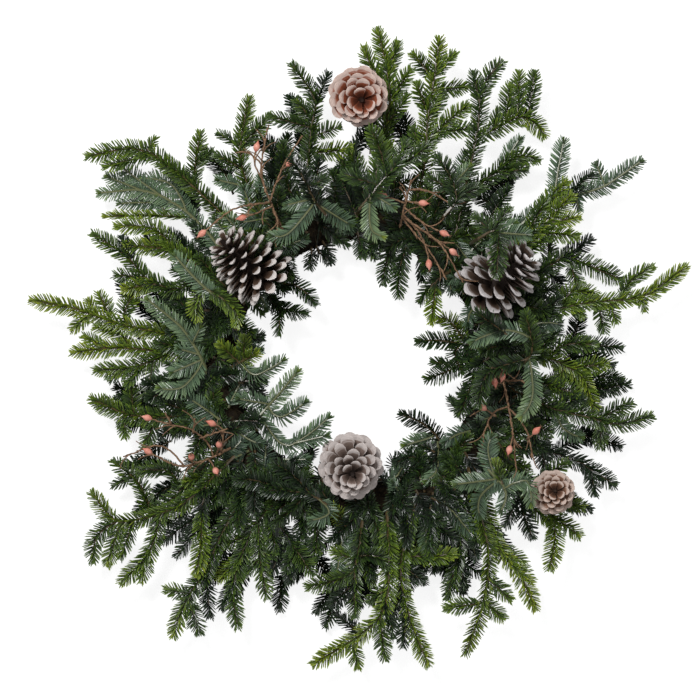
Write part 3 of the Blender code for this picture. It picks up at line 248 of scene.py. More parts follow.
class Graph:
    """Adds nodes to a node tree."""

    def __init__(self, tree):
        self.nodes = tree.nodes
        self.links = tree.links

    def feed(self, socket, value):
        """Links a node's output to a socket, or sets the socket's value."""
        if isinstance(value, bpy.types.NodeSocket):
            self.links.new(value, socket)
        else:
            socket.default_value = value

    def ramp(self, factor, stops):
        made = self.nodes.new("ShaderNodeValToRGB")
        elements = made.color_ramp.elements
        while len(elements) < len(stops):
            elements.new(0.5)
        for element, (place, colour) in zip(elements, stops):
            element.position = place
            element.color = (*colour[:3], 1.0)
        self.links.new(factor, made.inputs[0])
        return made.outputs[0]

    def mix(self, kind, factor, first, second):
        made = self.nodes.new("ShaderNodeMix")
        made.data_type = "RGBA"
        made.blend_type = kind
        self.feed(made.inputs[0], factor)
        self.feed(made.inputs[6], first)
        self.feed(made.inputs[7], second)
        return made.outputs[2]

    def math(self, operation, first, second):
        made = self.nodes.new("ShaderNodeMath")
        made.operation = operation
        self.feed(made.inputs[0], first)
        self.feed(made.inputs[1], second)
        return made.outputs[0]

    def noise(self, place, scale, detail):
        made = self.nodes.new("ShaderNodeTexNoise")
        made.inputs["Scale"].default_value = scale
        made.inputs["Detail"].default_value = detail
        self.links.new(place, made.inputs["Vector"])
        return made.outputs["Fac"]


class Look(Graph):
    """A Principled material."""

    def __init__(self, name, roughness, specular):
        self.material = bpy.data.materials.new(name)
        self.material.use_nodes = True
        super().__init__(self.material.node_tree)
        self.shader = self.nodes["Principled BSDF"]
        self.set("Roughness", roughness)
        self.set("Specular IOR Level", specular)

    def set(self, name, value):
        self.feed(self.shader.inputs[name], value)

    def map_parts(self):
        """The OFBake map, and its two shares: across is the tone, up is the place on a needle or scale."""
        uv = self.nodes.new("ShaderNodeUVMap")
        uv.uv_map = "OFBake"
        apart = self.nodes.new("ShaderNodeSeparateXYZ")
        self.links.new(uv.outputs[0], apart.inputs[0])
        return uv.outputs[0], apart.outputs[0], apart.outputs[1]


# Where on the map's height a needle's upper side, its underside and bark lie, from root to tip.
UPPER_SIDE = (0.01, 0.40)
UNDERSIDE = (0.42, 0.80)
BARK = (0.86, 0.98)
UNDERSIDE_FROM = 0.41
BARK_FROM = 0.82


def needle_material():
    """Needles, darkened by painted shade at their roots and lightened by a painted highlight towards their
    tips, and the bark of their stems.
    """
    look = Look("fir_needles_look", 0.34, 0.6)
    uv, tone, place = look.map_parts()
    upper = look.ramp(tone, ((0.0, linear(13, 25, 17)), (0.25, linear(32, 52, 27)), (0.5, linear(60, 84, 32)),
                             (0.75, linear(98, 122, 34)), (1.0, linear(142, 154, 50))))
    under = look.ramp(tone, ((0.0, linear(50, 70, 58)), (0.5, linear(98, 122, 96)),
                             (1.0, linear(144, 164, 120))))
    bark = look.ramp(tone, ((0.0, linear(44, 34, 24)), (0.5, linear(92, 76, 48)),
                            (1.0, linear(112, 120, 84))))
    # Painted shade at the needles' roots and a painted highlight towards their tips, on both sides.
    painted_shade_and_highlight = look.ramp(place, ((0.0, (0.10, 0.11, 0.10)), (0.15, (0.46, 0.48, 0.44)),
                              (0.31, (1.05, 1.05, 0.95)), (0.40, (2.0, 1.95, 1.7)),
                              (0.42, (0.22, 0.24, 0.22)), (0.58, (0.74, 0.78, 0.72)),
                              (0.80, (1.25, 1.25, 1.15)), (0.84, (1.0, 1.0, 1.0))))
    sides = look.mix("MIX", look.math("GREATER_THAN", place, UNDERSIDE_FROM), upper, under)
    unshaded = look.mix("MIX", look.math("GREATER_THAN", place, BARK_FROM), sides, bark)
    shaded = look.mix("MULTIPLY", 1.0, unshaded, painted_shade_and_highlight)
    grain = look.ramp(look.noise(uv, 60.0, 2.0), ((0.3, (0.72, 0.74, 0.7)), (0.7, (1.15, 1.12, 1.1))))
    look.set("Base Color", look.mix("MULTIPLY", 0.8, shaded, grain))
    return look.material


# The same for the two sides of a cone scale: towards the cone's tip, and towards its base.
SCALE_INNER = (0.02, 0.42)      # the first place, and the run from there
SCALE_OUTER = (0.52, 0.42)
SCALE_OUTER_FROM = 0.48
SCALE_RUNS = 1 / 0.45


def cone_material(name, inner, outer, frost, frost_amount):
    """Cone scales, darkened by painted shade at their roots, and frosted at their rims."""
    look = Look(name, 0.78, 0.2)
    uv, _, place = look.map_parts()
    is_outer = look.math("GREATER_THAN", place, SCALE_OUTER_FROM)
    apart = look.nodes.new("ShaderNodeMix")
    look.feed(apart.inputs[0], is_outer)
    look.feed(apart.inputs[2], look.math("MULTIPLY", place, SCALE_RUNS))
    look.feed(apart.inputs[3], look.math("MULTIPLY", look.math("SUBTRACT", place, 0.5), SCALE_RUNS))
    run = apart.outputs[0]
    base = look.mix("MIX", is_outer, inner, outer)
    # Painted shade: scales and core darken towards the scales' roots, where the rows shade each other.
    dark = look.ramp(run, ((0.0, (0.06, 0.05, 0.045)), (0.5, (0.30, 0.27, 0.25)), (0.78, (1.0, 1.0, 1.0)),
                           (0.95, (1.25, 1.25, 1.25))))
    body = look.mix("MULTIPLY", 1.0, base, dark)
    reach = look.math("ADD", run, look.math("MULTIPLY", look.noise(uv, 34.0, 4.0), 0.3))
    frosted = look.ramp(reach, ((0.9, (0.0, 0.0, 0.0)), (1.0, (1.0, 1.0, 1.0))))
    rimmed = look.mix("MIX", look.math("MULTIPLY", frosted, frost_amount), body, frost)
    grain = look.ramp(look.noise(uv, 90.0, 3.0), ((0.25, (0.7, 0.68, 0.66)), (0.75, (1.12, 1.1, 1.08))))
    look.set("Base Color", look.mix("MULTIPLY", 0.9, rimmed, grain))
    return look.material


def mottled_material(name, stops, scale, roughness, bump, specular=0.25, metallic=0.0):
    """A material mottled through its whole depth, rough where it is mottled."""
    look = Look(name, roughness, specular)
    look.set("Metallic", metallic)
    noise = look.noise(look.nodes.new("ShaderNodeTexCoord").outputs["Object"], scale, 5.0)
    look.set("Base Color", look.ramp(noise, stops))
    relief = look.nodes.new("ShaderNodeBump")
    relief.inputs["Strength"].default_value = bump
    relief.inputs["Distance"].default_value = 0.001
    look.feed(relief.inputs["Height"], noise)
    look.set("Normal", relief.outputs[0])
    return look.material


# --- meshes of many small solids

class Pile:
    """Collects points in millimetres, triangles, and a map place for each triangle's corner."""

    def __init__(self):
        self.points = []
        self.triangles = []
        self.uv = []
        self.count = 0

    def add(self, points, triangles, uv):
        self.points.append(points)
        self.triangles.append(triangles + self.count)
        self.uv.append(uv)
        self.count += len(points)

    def object(self, name, look, smooth=False, mapped=True):
        """One mesh object of it all.  What isn't mapped has a material that needs no map."""
        points = np.concatenate(self.points).astype(np.float32) * MM
        triangles = np.concatenate(self.triangles).astype(np.int32)
        mesh = bpy.data.meshes.new(name)
        mesh.vertices.add(len(points))
        mesh.vertices.foreach_set("co", points.ravel())
        mesh.loops.add(triangles.size)
        mesh.loops.foreach_set("vertex_index", triangles.ravel())
        mesh.polygons.add(len(triangles))
        mesh.polygons.foreach_set("loop_start", np.arange(0, triangles.size, 3, dtype=np.int32))
        mesh.polygons.foreach_set("loop_total", np.full(len(triangles), 3, dtype=np.int32))
        if mapped:
            layer = mesh.uv_layers.new(name="OFBake")
            layer.data.foreach_set("uv", np.concatenate(self.uv).astype(np.float32).ravel())
        mesh.update(calc_edges=True)
        mesh.polygons.foreach_set("use_smooth", np.full(len(triangles), smooth, dtype=bool))
        mesh.materials.append(look)
        made = bpy.data.objects.new(name, mesh)
        bpy.context.scene.collection.objects.link(made)
        return made


def keep(obj, slot, *nodes):
    """Ties a piece to the frame in the place of the nodes that it stands for. The slot is not used."""
    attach(obj, "root")
    if nodes:
        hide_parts(*nodes)


def unit(vectors):
    return vectors / np.maximum(np.linalg.norm(vectors, axis=-1, keepdims=True), 1e-9)


def blade_template(stations):
    """Triangles of a flat closed blade through the stations, and which lie on its underside."""
    triangles = []
    under = []
    for ring in range(len(stations) - 1):
        for corner in range(4):
            after = (corner + 1) % 4
            here, there = ring * 4, ring * 4 + 4
            triangles.append((here + corner, here + after, there + after))
            triangles.append((here + corner, there + after, there + corner))
            under += [corner in (2, 3)] * 2
    last = (len(stations) - 1) * 4
    for corner in range(4):
        triangles.append((last + corner, last + (corner + 1) % 4, last + 4))
        under.append(corner in (2, 3))
    triangles += [(0, 3, 2), (0, 2, 1)]
    under += [False, False]
    return np.array(triangles), np.array(under)


# Stations of a blade: share of the length, half width and half thickness.  It ends in a point.
STATIONS = ((0.0, 0.30, 0.5), (0.25, 0.5, 0.5), (0.82, 0.46, 0.5))
BLADE_TRIANGLES, BLADE_UNDER = blade_template(STATIONS)
BLADE_SPREAD = np.array((1.0, 0.0, -1.0, 0.0) * len(STATIONS) + (0.0,))
TONE_SPREAD = 0.012             # of a blade, tube or scale on the map
LYING_HEIGHT = 0.5              # under this a blade lies on the surface
LYING_BEND = 0.96


def blades(pile, roots, ways, normals, lengths, widths, thick, bend, tones):
    """Adds flat pointed blades to a pile.  Corners go right, top, left, bottom round each blade."""
    across = unit(np.cross(ways, normals))
    normals = unit(np.cross(across, ways))
    rings = []
    shares = []
    for share, half_width, half_thick in STATIONS:
        middle = roots + ways * (lengths * share)[:, None] + normals * (bend * lengths * share ** 2)[:, None]
        side = across * (widths * half_width)[:, None]
        up = normals * (thick * half_thick)
        rings += [middle + side, middle + up, middle - side, middle - up]
        shares += [share] * 4
    rings.append(roots + ways * lengths[:, None] + normals * (bend * lengths)[:, None])
    shares.append(1.0)
    points = np.stack(rings, axis=1).reshape(-1, 3)
    points[:, 2] -= np.minimum(points[:, 2] - LYING_HEIGHT, 0.0) * LYING_BEND
    firsts = np.arange(len(roots)) * len(shares)
    triangles = (BLADE_TRIANGLES[None] + firsts[:, None, None]).reshape(-1, 3)
    low = np.where(BLADE_UNDER, UNDERSIDE[0], UPPER_SIDE[0])[:, None]
    high = np.where(BLADE_UNDER, UNDERSIDE[1], UPPER_SIDE[1])[:, None]
    uv = np.empty((len(roots), len(BLADE_TRIANGLES), 3, 2))
    uv[..., 0] = np.clip(tones, 0.02, 0.98)[:, None, None] + TONE_SPREAD * BLADE_SPREAD[BLADE_TRIANGLES]
    uv[..., 1] = (low + (high - low) * np.array(shares)[BLADE_TRIANGLES])[None]
    pile.add(points, triangles, uv.reshape(-1, 2))


def tube(pile, line, radii, sides, tone, span=BARK):
    """A closed tapered tube along a 3-D line, which goes once over a span of the map's height."""
    line = np.asarray(line, dtype=float)
    ways = unit(np.gradient(line, axis=0))
    across = unit(np.cross(ways, UP) + 1e-6)
    up = unit(np.cross(across, ways))
    turn = 2 * np.pi * np.arange(sides) / sides
    radii = np.broadcast_to(np.asarray(radii, dtype=float), (len(line),))
    rings = line[:, None] + radii[:, None, None] * (
        np.cos(turn)[None, :, None] * across[:, None] + np.sin(turn)[None, :, None] * up[:, None])
    points = np.concatenate([rings.reshape(-1, 3), line[:1], line[-1:]])
    first = len(line) * sides
    end = first - sides
    triangles = []
    uv = []

    def place(ring, corner):
        return (tone + TONE_SPREAD * (ring % 2), span[0] + (span[1] - span[0]) * (corner / sides))

    for ring in range(len(line) - 1):
        for corner in range(sides):
            after = (corner + 1) % sides
            here = ring * sides
            triangles += [(here + sides + after, here + after, here + corner),
                          (here + sides + corner, here + sides + after, here + corner)]
            uv += [place(ring + 1, corner + 1), place(ring, corner + 1), place(ring, corner),
                   place(ring + 1, corner), place(ring + 1, corner + 1), place(ring, corner)]
    for corner in range(sides):
        after = (corner + 1) % sides
        triangles += [(corner, after, first), (end + after, end + corner, first + 1)]
        uv += [place(0, corner)] * 6
    pile.add(points, np.array(triangles), np.array(uv, dtype=float))


# --- the stems, read from the frame

def smooth_path(points, step=2.0):
    """Evenly spaced points along a Catmull-Rom curve through the given ones, and its length."""
    knots = [2 * np.array(points[0]) - np.array(points[1])]
    knots += [np.array(point) for point in points]
    knots.append(2 * np.array(points[-1]) - np.array(points[-2]))
    fine = []
    for before, start, end, after in zip(knots, knots[1:], knots[2:], knots[3:]):
        for t in np.linspace(0, 1, 24, endpoint=False):
            fine.append(0.5 * (2 * start + (end - before) * t
                               + (2 * before - 5 * start + 4 * end - after) * t ** 2
                               + (3 * start - before - 3 * end + after) * t ** 3))
    fine.append(knots[-2])
    fine = np.array(fine, dtype=float)
    run = np.concatenate(([0], np.cumsum(np.linalg.norm(np.diff(fine, axis=0), axis=1))))
    wanted = np.linspace(0, run[-1], max(2, int(round(run[-1] / step)) + 1))
    return np.column_stack([np.interp(wanted, run, fine[:, axis]) for axis in range(2)]), run[-1]


def along(path, share):
    """The plan point at a share of a path's length."""
    place = share * (len(path) - 1)
    first = min(int(place), len(path) - 2)
    return path[first] + (path[first + 1] - path[first]) * (place - first)


def heights_at(tree, place):
    """Heights of the middles of a node's solid at a plan place, from the top."""
    found = []
    z = 400.0
    for _ in range(12):
        spot = tree.ray_cast(Vector((place[0] + SHIFT[0], place[1] + SHIFT[1], z)), Vector((0, 0, -1)))[0]
        if spot is None:
            break
        found.append(spot.z)
        z = spot.z - 0.02
    return [(top + low) / 2 for top, low in zip(found[::2], found[1::2])]


class Stem:
    """One shoot's smooth line in millimetres, at the heights that its node has along it."""

    def __init__(self, points, side_shoots, woody, start_z, tree, level=0):
        path, length = smooth_path(points)
        shoulder = min(woody + SHOULDER, 0.5 * length)
        before_tip = max(length - TIP_LENGTH, 0.6 * length)
        inner = max(1, int(round((before_tip - shoulder) / STATION_STEP)))
        runs = [0.0]
        if woody > 0:
            runs.append(min(woody, 0.3 * length))
        runs += list(np.linspace(shoulder, before_tip, inner + 1))
        runs.append(length)
        places = np.array([along(path, run / length) for run in runs])
        zs = [start_z]
        for before, here in zip(places, places[1:]):
            found = heights_at(tree, here + (before - here) * 0.03 + OFF_EDGE)
            zs.append(min(found, key=lambda z: abs(z - zs[-1])) if found else zs[-1])
        fine = np.arange(0, length + 0.01, 2.0)
        padded = np.pad(np.interp(fine, runs, zs), 4, mode="edge")
        smooth_z = np.convolve(padded, np.ones(9) / 9, mode="valid")
        smooth_z[0] = start_z
        curved = np.array([along(path, min(run / length, 1.0)) for run in fine])
        straight = np.column_stack([np.interp(fine, runs, places[:, axis]) for axis in range(2)])
        self.line = np.column_stack([0.6 * curved + 0.4 * straight + SHIFT, smooth_z])
        self.level = level
        self.tip = places[-1]
        self.sides = []
        for share, *rest in side_shoots:
            own = rest.pop() if isinstance(rest[-1], list) else ()
            start = tuple(np.interp(share * length, runs, places[:, axis]) for axis in range(2))
            z = float(np.interp(share * length, runs, zs))
            self.sides.append(Stem([start] + rest, own, 0.0, z, tree, level + 1))

    def all(self):
        """The shoot itself, then its side shoots, each followed by its own."""
        found = [self]
        for side in self.sides:
            found += side.all()
        return found


def read_stem(name, points, side_shoots, woody):
    """The stem of a node, and the line from its root in the moss to where it comes out."""
    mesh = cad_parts[name].data
    corners = np.array([vertex.co / MM for vertex in mesh.vertices])
    tree = BVHTree.FromPolygons([vertex.co / MM for vertex in mesh.vertices],
                                [tuple(face.vertices) for face in mesh.polygons])
    plan = corners[:, :2] - SHIFT
    off = np.hypot(plan[:, 0] - RING_X, plan[:, 1] - RING_Y)
    near = np.hypot(*(plan - np.array(points[0])).T) < 36
    choice = np.where((abs(off - RING_RADIUS) < 23) & near)[0]
    lowest = choice[np.argmin(corners[choice, 2])]
    root = plan[lowest]
    root_z = corners[lowest, 2] + 1.5
    onward = [point for point in points[1:-1] if np.linalg.norm(point - root) > ROOT_RUN + LEAST_REACH]
    onward.append(points[-1])
    way = np.array(onward[0], dtype=float) - root
    leave = root + way / np.linalg.norm(way) * ROOT_RUN
    found = heights_at(tree, leave + OFF_EDGE)
    start_z = found[-1] if found else root_z + 16
    stem = Stem([tuple(leave)] + onward, side_shoots, woody, start_z, tree)
    return stem, np.array(((*(root + SHIFT), root_z), (*(leave + SHIFT), start_z)))


# --- shoots

NEEDLES_PER_MM = 2.6
NEEDLE_LENGTH = 11.6
NEEDLE_WIDTH = 1.15
TIP_NEEDLE_WIDTH = 1.2
NEEDLE_THICK = 0.5
TIP_NEEDLES = 7
CLOSING_RUN = 13.0              # before the tip, in which the needles turn forwards


def nearest(place, marks):
    return min(math.hypot(place[0] - x, place[1] - y) for x, y in marks)


def shoot_tone(tip):
    """The tone of a shoot with that tip, and whether its underside is up."""
    far = math.hypot(tip[0] - RING_X, tip[1] - RING_Y)
    tone = 0.30 + 0.22 * min(max((far - 150) / 120, 0), 1) + rng.normal(0, 0.07)
    bright, dark, pale = nearest(tip, BRIGHT), nearest(tip, DARK), nearest(tip, PALE)
    if min(bright, dark, pale) < MARK_REACH:
        if pale <= min(bright, dark):
            return 0.5 + rng.normal(0, 0.1), True
        if bright <= dark:
            return 0.68 + rng.normal(0, 0.05), False
        return 0.12 + rng.normal(0, 0.04), False
    if far > 200 and rng.random() < 0.3:
        return tone + 0.12, False
    return tone, bool(rng.random() < 0.07)


def clothe(pile, line, tone, flipped, bare=3.0, wood=(1.2, 0.6)):
    """Bark along a line, and needles on it: most to both sides, some over the top, a tuft at the tip."""
    run = np.concatenate(([0], np.cumsum(np.linalg.norm(np.diff(line, axis=0), axis=1))))
    total = run[-1]
    count = int(max(total - bare, 4) * NEEDLES_PER_MM)
    order = np.arange(count)
    t = bare + (total - bare) * (order + rng.uniform(-0.7, 0.7, count) + 0.5) / count
    t = np.clip(t, bare * 0.5, total)
    ways_line = unit(np.gradient(line, axis=0))
    roots = np.column_stack([np.interp(t, run, line[:, axis]) for axis in range(3)])
    ways = unit(np.column_stack([np.interp(t, run, ways_line[:, axis]) for axis in range(3)]))
    roll = rng.normal(0, 0.25) + (math.pi if flipped else 0.0)
    side = unit(np.cross(ways, np.array(UP)))
    up = unit(np.cross(side, ways))
    face = up * math.cos(roll) + side * math.sin(roll)
    lateral = np.cross(ways, face)
    over = order % 5 >= 3
    left = np.where(over, np.where(rng.random(count) < 0.5, 1.0, -1.0), np.where(order % 2 == 0, 1.0, -1.0))
    angle = np.where(over, rng.normal(34, 13, count), rng.normal(80, 8, count)) * np.pi / 180 * left
    out = face * np.cos(angle)[:, None] + lateral * np.sin(angle)[:, None]
    near_tip = np.clip((t - (total - CLOSING_RUN)) / CLOSING_RUN, 0, 1)
    open_way = rng.normal(57, 4)
    sweep = np.where(over, open_way - 12, open_way) + rng.normal(0, 4, count) - 32 * near_tip ** 1.5
    sweep = sweep * np.pi / 180
    ways_out = unit(ways * np.cos(sweep)[:, None] + out * np.sin(sweep)[:, None])
    lengths = NEEDLE_LENGTH * (1 - 0.30 * near_tip) * np.where(over, 0.74, 1.0) * rng.normal(1, 0.06, count)
    lengths *= 0.75 + 0.25 * np.clip((t - bare) / 12, 0, 1)
    normals = unit(face + rng.normal(0, 0.14, (count, 3)) - ways * np.where(over, 0.6, 0.0)[:, None])
    slope = 0.28 if tone > 0.55 else 0.14
    tones = tone + slope * (t / total - 0.5) + rng.normal(0, 0.09, count)
    blades(pile, roots, ways_out, normals, lengths, np.full(count, NEEDLE_WIDTH), NEEDLE_THICK,
           rng.normal(0.06, 0.03, count), tones)
    turn = 2 * np.pi * (np.arange(TIP_NEEDLES) + rng.random()) / TIP_NEEDLES
    way = ways_line[-1]
    ring = np.cos(turn)[:, None] * face[-1] + np.sin(turn)[:, None] * lateral[-1]
    blades(pile, np.repeat(line[-1:], TIP_NEEDLES, axis=0) - way * 1.5, unit(way + ring * 0.42),
           unit(ring + 0.01), np.full(TIP_NEEDLES, NEEDLE_LENGTH * 0.62),
           np.full(TIP_NEEDLES, TIP_NEEDLE_WIDTH), NEEDLE_THICK,
           np.full(TIP_NEEDLES, -0.04), np.full(TIP_NEEDLES, tone + slope / 2))
    step = 2 if len(line) > 6 else 1
    tube(pile, line[::step], np.linspace(*wood, len(line))[::step], 5,
         0.9 if flipped else 0.25 + 0.3 * min(max(tone, 0.0), 1.0))


needle_look = needle_material()
for group, woody in ((LOW_SPRAYS, OUTER_BARE_STEM), (HIGH_SPRAYS, OUTER_BARE_STEM),
                     (INNER_SPRAYS, INNER_BARE_STEM), (FACE_SPRAYS, INNER_BARE_STEM)):
    for name, points, side_shoots in group:
        stem, root_line = read_stem(name, points, side_shoots, woody)
        pile = Pile()
        tube(pile, root_line, (1.7, 1.6), 6, 0.3)
        main_tone, main_flip = shoot_tone(stem.tip)
        clothe(pile, stem.line, main_tone, main_flip, 8.0, (1.5, 0.9))
        for shoot in stem.all()[1:]:
            tone, flipped = shoot_tone(shoot.tip)
            if nearest(shoot.tip, BRIGHT + DARK + PALE) > MARK_REACH:
                tone = 0.65 * tone + 0.35 * main_tone
                flipped = main_flip
            clothe(pile, shoot.line, tone, flipped, 2.0, (1.0, 0.7))
        keep(pile.object("needles_" + name, needle_look), "fir_shoots", name)


# --- short shoots between the sprays

SHOOTS_IN_PIECE = 70
UNDER_SHOOTS = 200
FACE_SHOOTS = 230
GOLDEN_ANGLE = 137.508


def plan_shoot(degrees, radius, inward, spread, short, long):
    """Start, middle and end in plan of a shoot that leans from the ring's way by a random angle."""
    turn = math.radians(degrees)
    start = np.array((RING_X + radius * math.cos(turn), RING_Y + radius * math.sin(turn)))
    lean = math.radians(degrees + rng.normal(0, spread) + (180 if inward else 0))
    reach = rng.uniform(*short) if inward else rng.uniform(*long)
    end = start + reach * np.array((math.cos(lean), math.sin(lean)))
    return start, (start + end) / 2 + rng.normal(0, 3, 2), end


def keep_shoots(pile, name, made, last):
    """Keeps a pile of shoots as a piece of its own when it is full, and returns the pile to go on with."""
    if made % SHOOTS_IN_PIECE and made < last:
        return pile
    keep(pile.object(f"{name}_{math.ceil(made / SHOOTS_IN_PIECE)}", needle_look), "fir_shoots")
    return Pile()


# Dark ones deep down, their dark tone painted shade, which fill the ring but leave its gaps open.
pile = Pile()
made = 0
while made < UNDER_SHOOTS:
    degrees = rng.random() * 360
    radius = rng.uniform(108, 205)
    start, middle, end = plan_shoot(degrees, radius, radius < 122, 34, (16, 24), (34, 58))
    if nearest(end, GAPS) < 20 or nearest(start, GAPS) < 12 or nearest(middle, GAPS) < 17:
        continue
    start_z = rng.uniform(8, 18) + max(0.0, 30 * (1 - ((radius - RING_RADIUS) / 40) ** 2))
    path = smooth_path((start, middle, end), 4.0)[0]
    zs = np.linspace(start_z, max(start_z + rng.uniform(-14, 4), 10), len(path))
    clothe(pile, np.column_stack([path + SHIFT, zs]), 0.16 + rng.normal(0, 0.07), rng.random() < 0.12)
    made += 1
    pile = keep_shoots(pile, "under_shoots", made, UNDER_SHOOTS)

# Others over the face of the moss ring, lower than the sprays, cones and twigs on it.
made = 0
tries = 0
while made < FACE_SHOOTS:
    degrees = tries * GOLDEN_ANGLE + rng.normal(0, 5)
    tries += 1
    radius = rng.uniform(116, 160)
    start, middle, end = plan_shoot(degrees, radius, rng.random() < 0.42, 38, (24, 36), (34, 60))
    if math.hypot(end[0] - RING_X, end[1] - RING_Y) < 98:
        continue
    path = smooth_path((start, middle, end), 4.0)[0]
    off = (np.hypot(path[:, 0] - RING_X, path[:, 1] - RING_Y) - RING_RADIUS) / (RING_HALF_WIDTH + 2)
    ground = RING_HEIGHT * np.sqrt(np.clip(1 - off ** 2, 0, 1))
    zs = np.maximum(ground + 5, RING_HEIGHT - 2 + np.linspace(0, rng.uniform(-6, 12), len(path)))
    zs[0] = ground[0] + 1
    clothe(pile, np.column_stack([path + SHIFT, zs]), 0.30 + rng.normal(0, 0.12), rng.random() < 0.2)
    made += 1
    pile = keep_shoots(pile, "face_shoots", made, FACE_SHOOTS)


# --- cones

# Stations of a scale: share of its length, and its width and thickness there.
SCALE_STATIONS = ((0.0, 0.34, 0.8), (0.3, 0.52, 0.8), (0.55, 0.82, 0.9), (0.75, 1.0, 1.2), (0.9, 0.88, 1.1),
                  (1.0, 0.46, 0.6))
SCALE_CORNERS = 8
CORE = ((0.02, 0.34), (0.3, 0.30), (0.6, 0.2), (0.9, 0.06))     # share of the length, radius


def scale(pile, root, way, normal, length, width, curl, thick, tone):
    """One woody cone scale: thin at its root, broad and cupped at its rounded end."""
    across = unit(np.cross(way, normal))
    points = []
    shares = []
    spreads = []
    for run, wide, deep in SCALE_STATIONS:
        middle = root + way * length * run + normal * curl * length * run ** 2
        for corner in range(SCALE_CORNERS):
            turn = 2 * math.pi * corner / SCALE_CORNERS
            cup = 0.16 * width * wide * math.cos(turn) ** 2
            points.append(middle + across * math.cos(turn) * width * wide / 2
                          + normal * (math.sin(turn) * deep * thick / 2 + cup))
            shares.append(run + (1 - run) * 0.5 * math.cos(turn) ** 4)
            spreads.append(math.cos(turn))
    first = len(points)
    end = first - SCALE_CORNERS
    points += [root, root + way * length * 1.03 + normal * curl * length]
    shares += [0.0, 1.0]
    spreads += [0.0, 0.0]
    triangles = []
    uv = []

    def put(corners, inner):
        low, rise = SCALE_INNER if inner else SCALE_OUTER
        triangles.append(corners)
        uv.extend((tone + TONE_SPREAD * spreads[corner], low + rise * shares[corner]) for corner in corners)

    for here in range(0, end, SCALE_CORNERS):
        there = here + SCALE_CORNERS
        for corner in range(SCALE_CORNERS):
            after = (corner + 1) % SCALE_CORNERS
            inner = corner < SCALE_CORNERS // 2
            put((here + corner, there + after, here + after), inner)
            put((here + corner, there + corner, there + after), inner)
    for corner in range(SCALE_CORNERS):
        after = (corner + 1) % SCALE_CORNERS
        inner = corner < SCALE_CORNERS // 2
        put((first, corner, after), inner)
        put((first + 1, end + after, end + corner), inner)
    pile.add(np.array(points), np.array(triangles), np.array(uv))


def cone(name, diameter, length, way, look, scales, wide, open_base, open_tip):
    """A cone in its node's place: a core, and scales round it by the golden angle."""
    low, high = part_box(name)
    axis = unit(np.array(way, dtype=float))
    side = unit(np.cross(axis, (0.3, 0.2, 0.9) if abs(axis[2]) < 0.9 else (1.0, 0.0, 0.0)))
    other = np.cross(axis, side)
    base = np.array([(a + b) / 2 / MM for a, b in zip(low, high)]) - axis * length / 2
    radius = diameter / 2
    pile = Pile()
    tube(pile, [base + axis * length * share for share, _ in CORE], [radius * core for _, core in CORE],
         9, 0.3, (0.52, 0.60))
    for number in range(scales):
        t = (number + 0.5) / scales
        turn = math.radians(GOLDEN_ANGLE) * number
        out = math.cos(turn) * side + math.sin(turn) * other
        angle = math.radians(open_base + (open_tip - open_base) * t ** 1.15 + rng.normal(0, 2.5))
        direction = math.cos(angle) * axis + math.sin(angle) * out
        normal = math.sin(angle) * axis - math.cos(angle) * out
        reach = radius * math.sin(math.pi * (0.36 + 0.50 * t)) ** 0.8 * 1.02
        core_radius = radius * 0.28 * (1 - 0.8 * t)
        root = base + axis * length * (0.04 + 0.78 * t) + out * core_radius
        scale(pile, root, direction, normal, max(reach - core_radius, 4.0) * rng.normal(1, 0.04),
              radius * wide * (1 - 0.42 * t) * rng.normal(1, 0.06), -0.08 + 0.16 * t, radius * 0.07,
              rng.uniform(0.03, 0.97))
    keep(pile.object("scales_" + name, look), "pine_cone", name)


# For each cone: colours of the scales' insides, outsides and frosted rims, the share of the frost,
# the number of scales, their width in cone radii, and how far they open at the base and at the tip.
CONE_LOOKS = {
    "cone_top": ((150, 82, 56), (132, 98, 84), (226, 210, 202), 0.8, 44, 0.64, 96, 58),
    "cone_left": ((96, 76, 62), (116, 98, 88), (230, 224, 222), 0.95, 74, 0.36, 98, 60),
    "cone_foot": ((142, 124, 116), (132, 118, 114), (220, 212, 210), 0.85, 52, 0.54, 100, 46),
    "cone_right": ((104, 86, 74), (142, 128, 122), (226, 222, 224), 0.9, 58, 0.56, 104, 58),
    "cone_small": ((140, 104, 84), (150, 124, 108), (226, 208, 198), 0.8, 44, 0.58, 100, 50),
}
for name, diameter, length, way in CONES:
    *colours, frost_amount, scales, wide, open_base, open_tip = CONE_LOOKS[name]
    look = cone_material(name + "_look", *[linear(*colour) for colour in colours], frost_amount)
    cone(name, diameter, length, way, look, scales, wide, open_base, open_tip)


# --- twigs and hips

WHOLE = (0.1, 0.9)
HIP_LINE = ((-3.0, 0.5), (-2.2, 1.3), (-0.8, 2.4), (1.0, 3.0), (2.8, 2.9), (4.4, 2.1), (5.6, 1.2), (6.4, 0.8),
            (7.2, 0.4))         # along, radius
HIP_END = 7.0
SEPALS = 5
twig_look = mottled_material("dried_twig_bark", ((0.3, linear(84, 62, 46)), (0.7, linear(158, 126, 98))),
                             420.0, 0.8, 0.4)
hip_look = mottled_material("hip_skin", ((0.3, linear(206, 118, 98)), (0.7, linear(238, 172, 154))),
                            160.0, 0.36, 0.15)


def spur(wood, line):
    """A short bare twig from somewhere on a line, curving to one side."""
    where = int(rng.integers(3, len(line) - 2))
    onward = unit(line[where + 1] - line[where])
    aside = unit(np.cross(onward, UP)) * rng.choice((-1.0, 1.0))
    points = [line[where]]
    for _ in range(5):
        onward = unit(onward + aside * rng.uniform(0.12, 0.3) + rng.normal(0, 0.08, 3))
        points.append(points[-1] + onward * rng.uniform(2.5, 4.5))
    tube(wood, points, np.linspace(0.75, 0.4, 6), 5, 0.5, WHOLE)


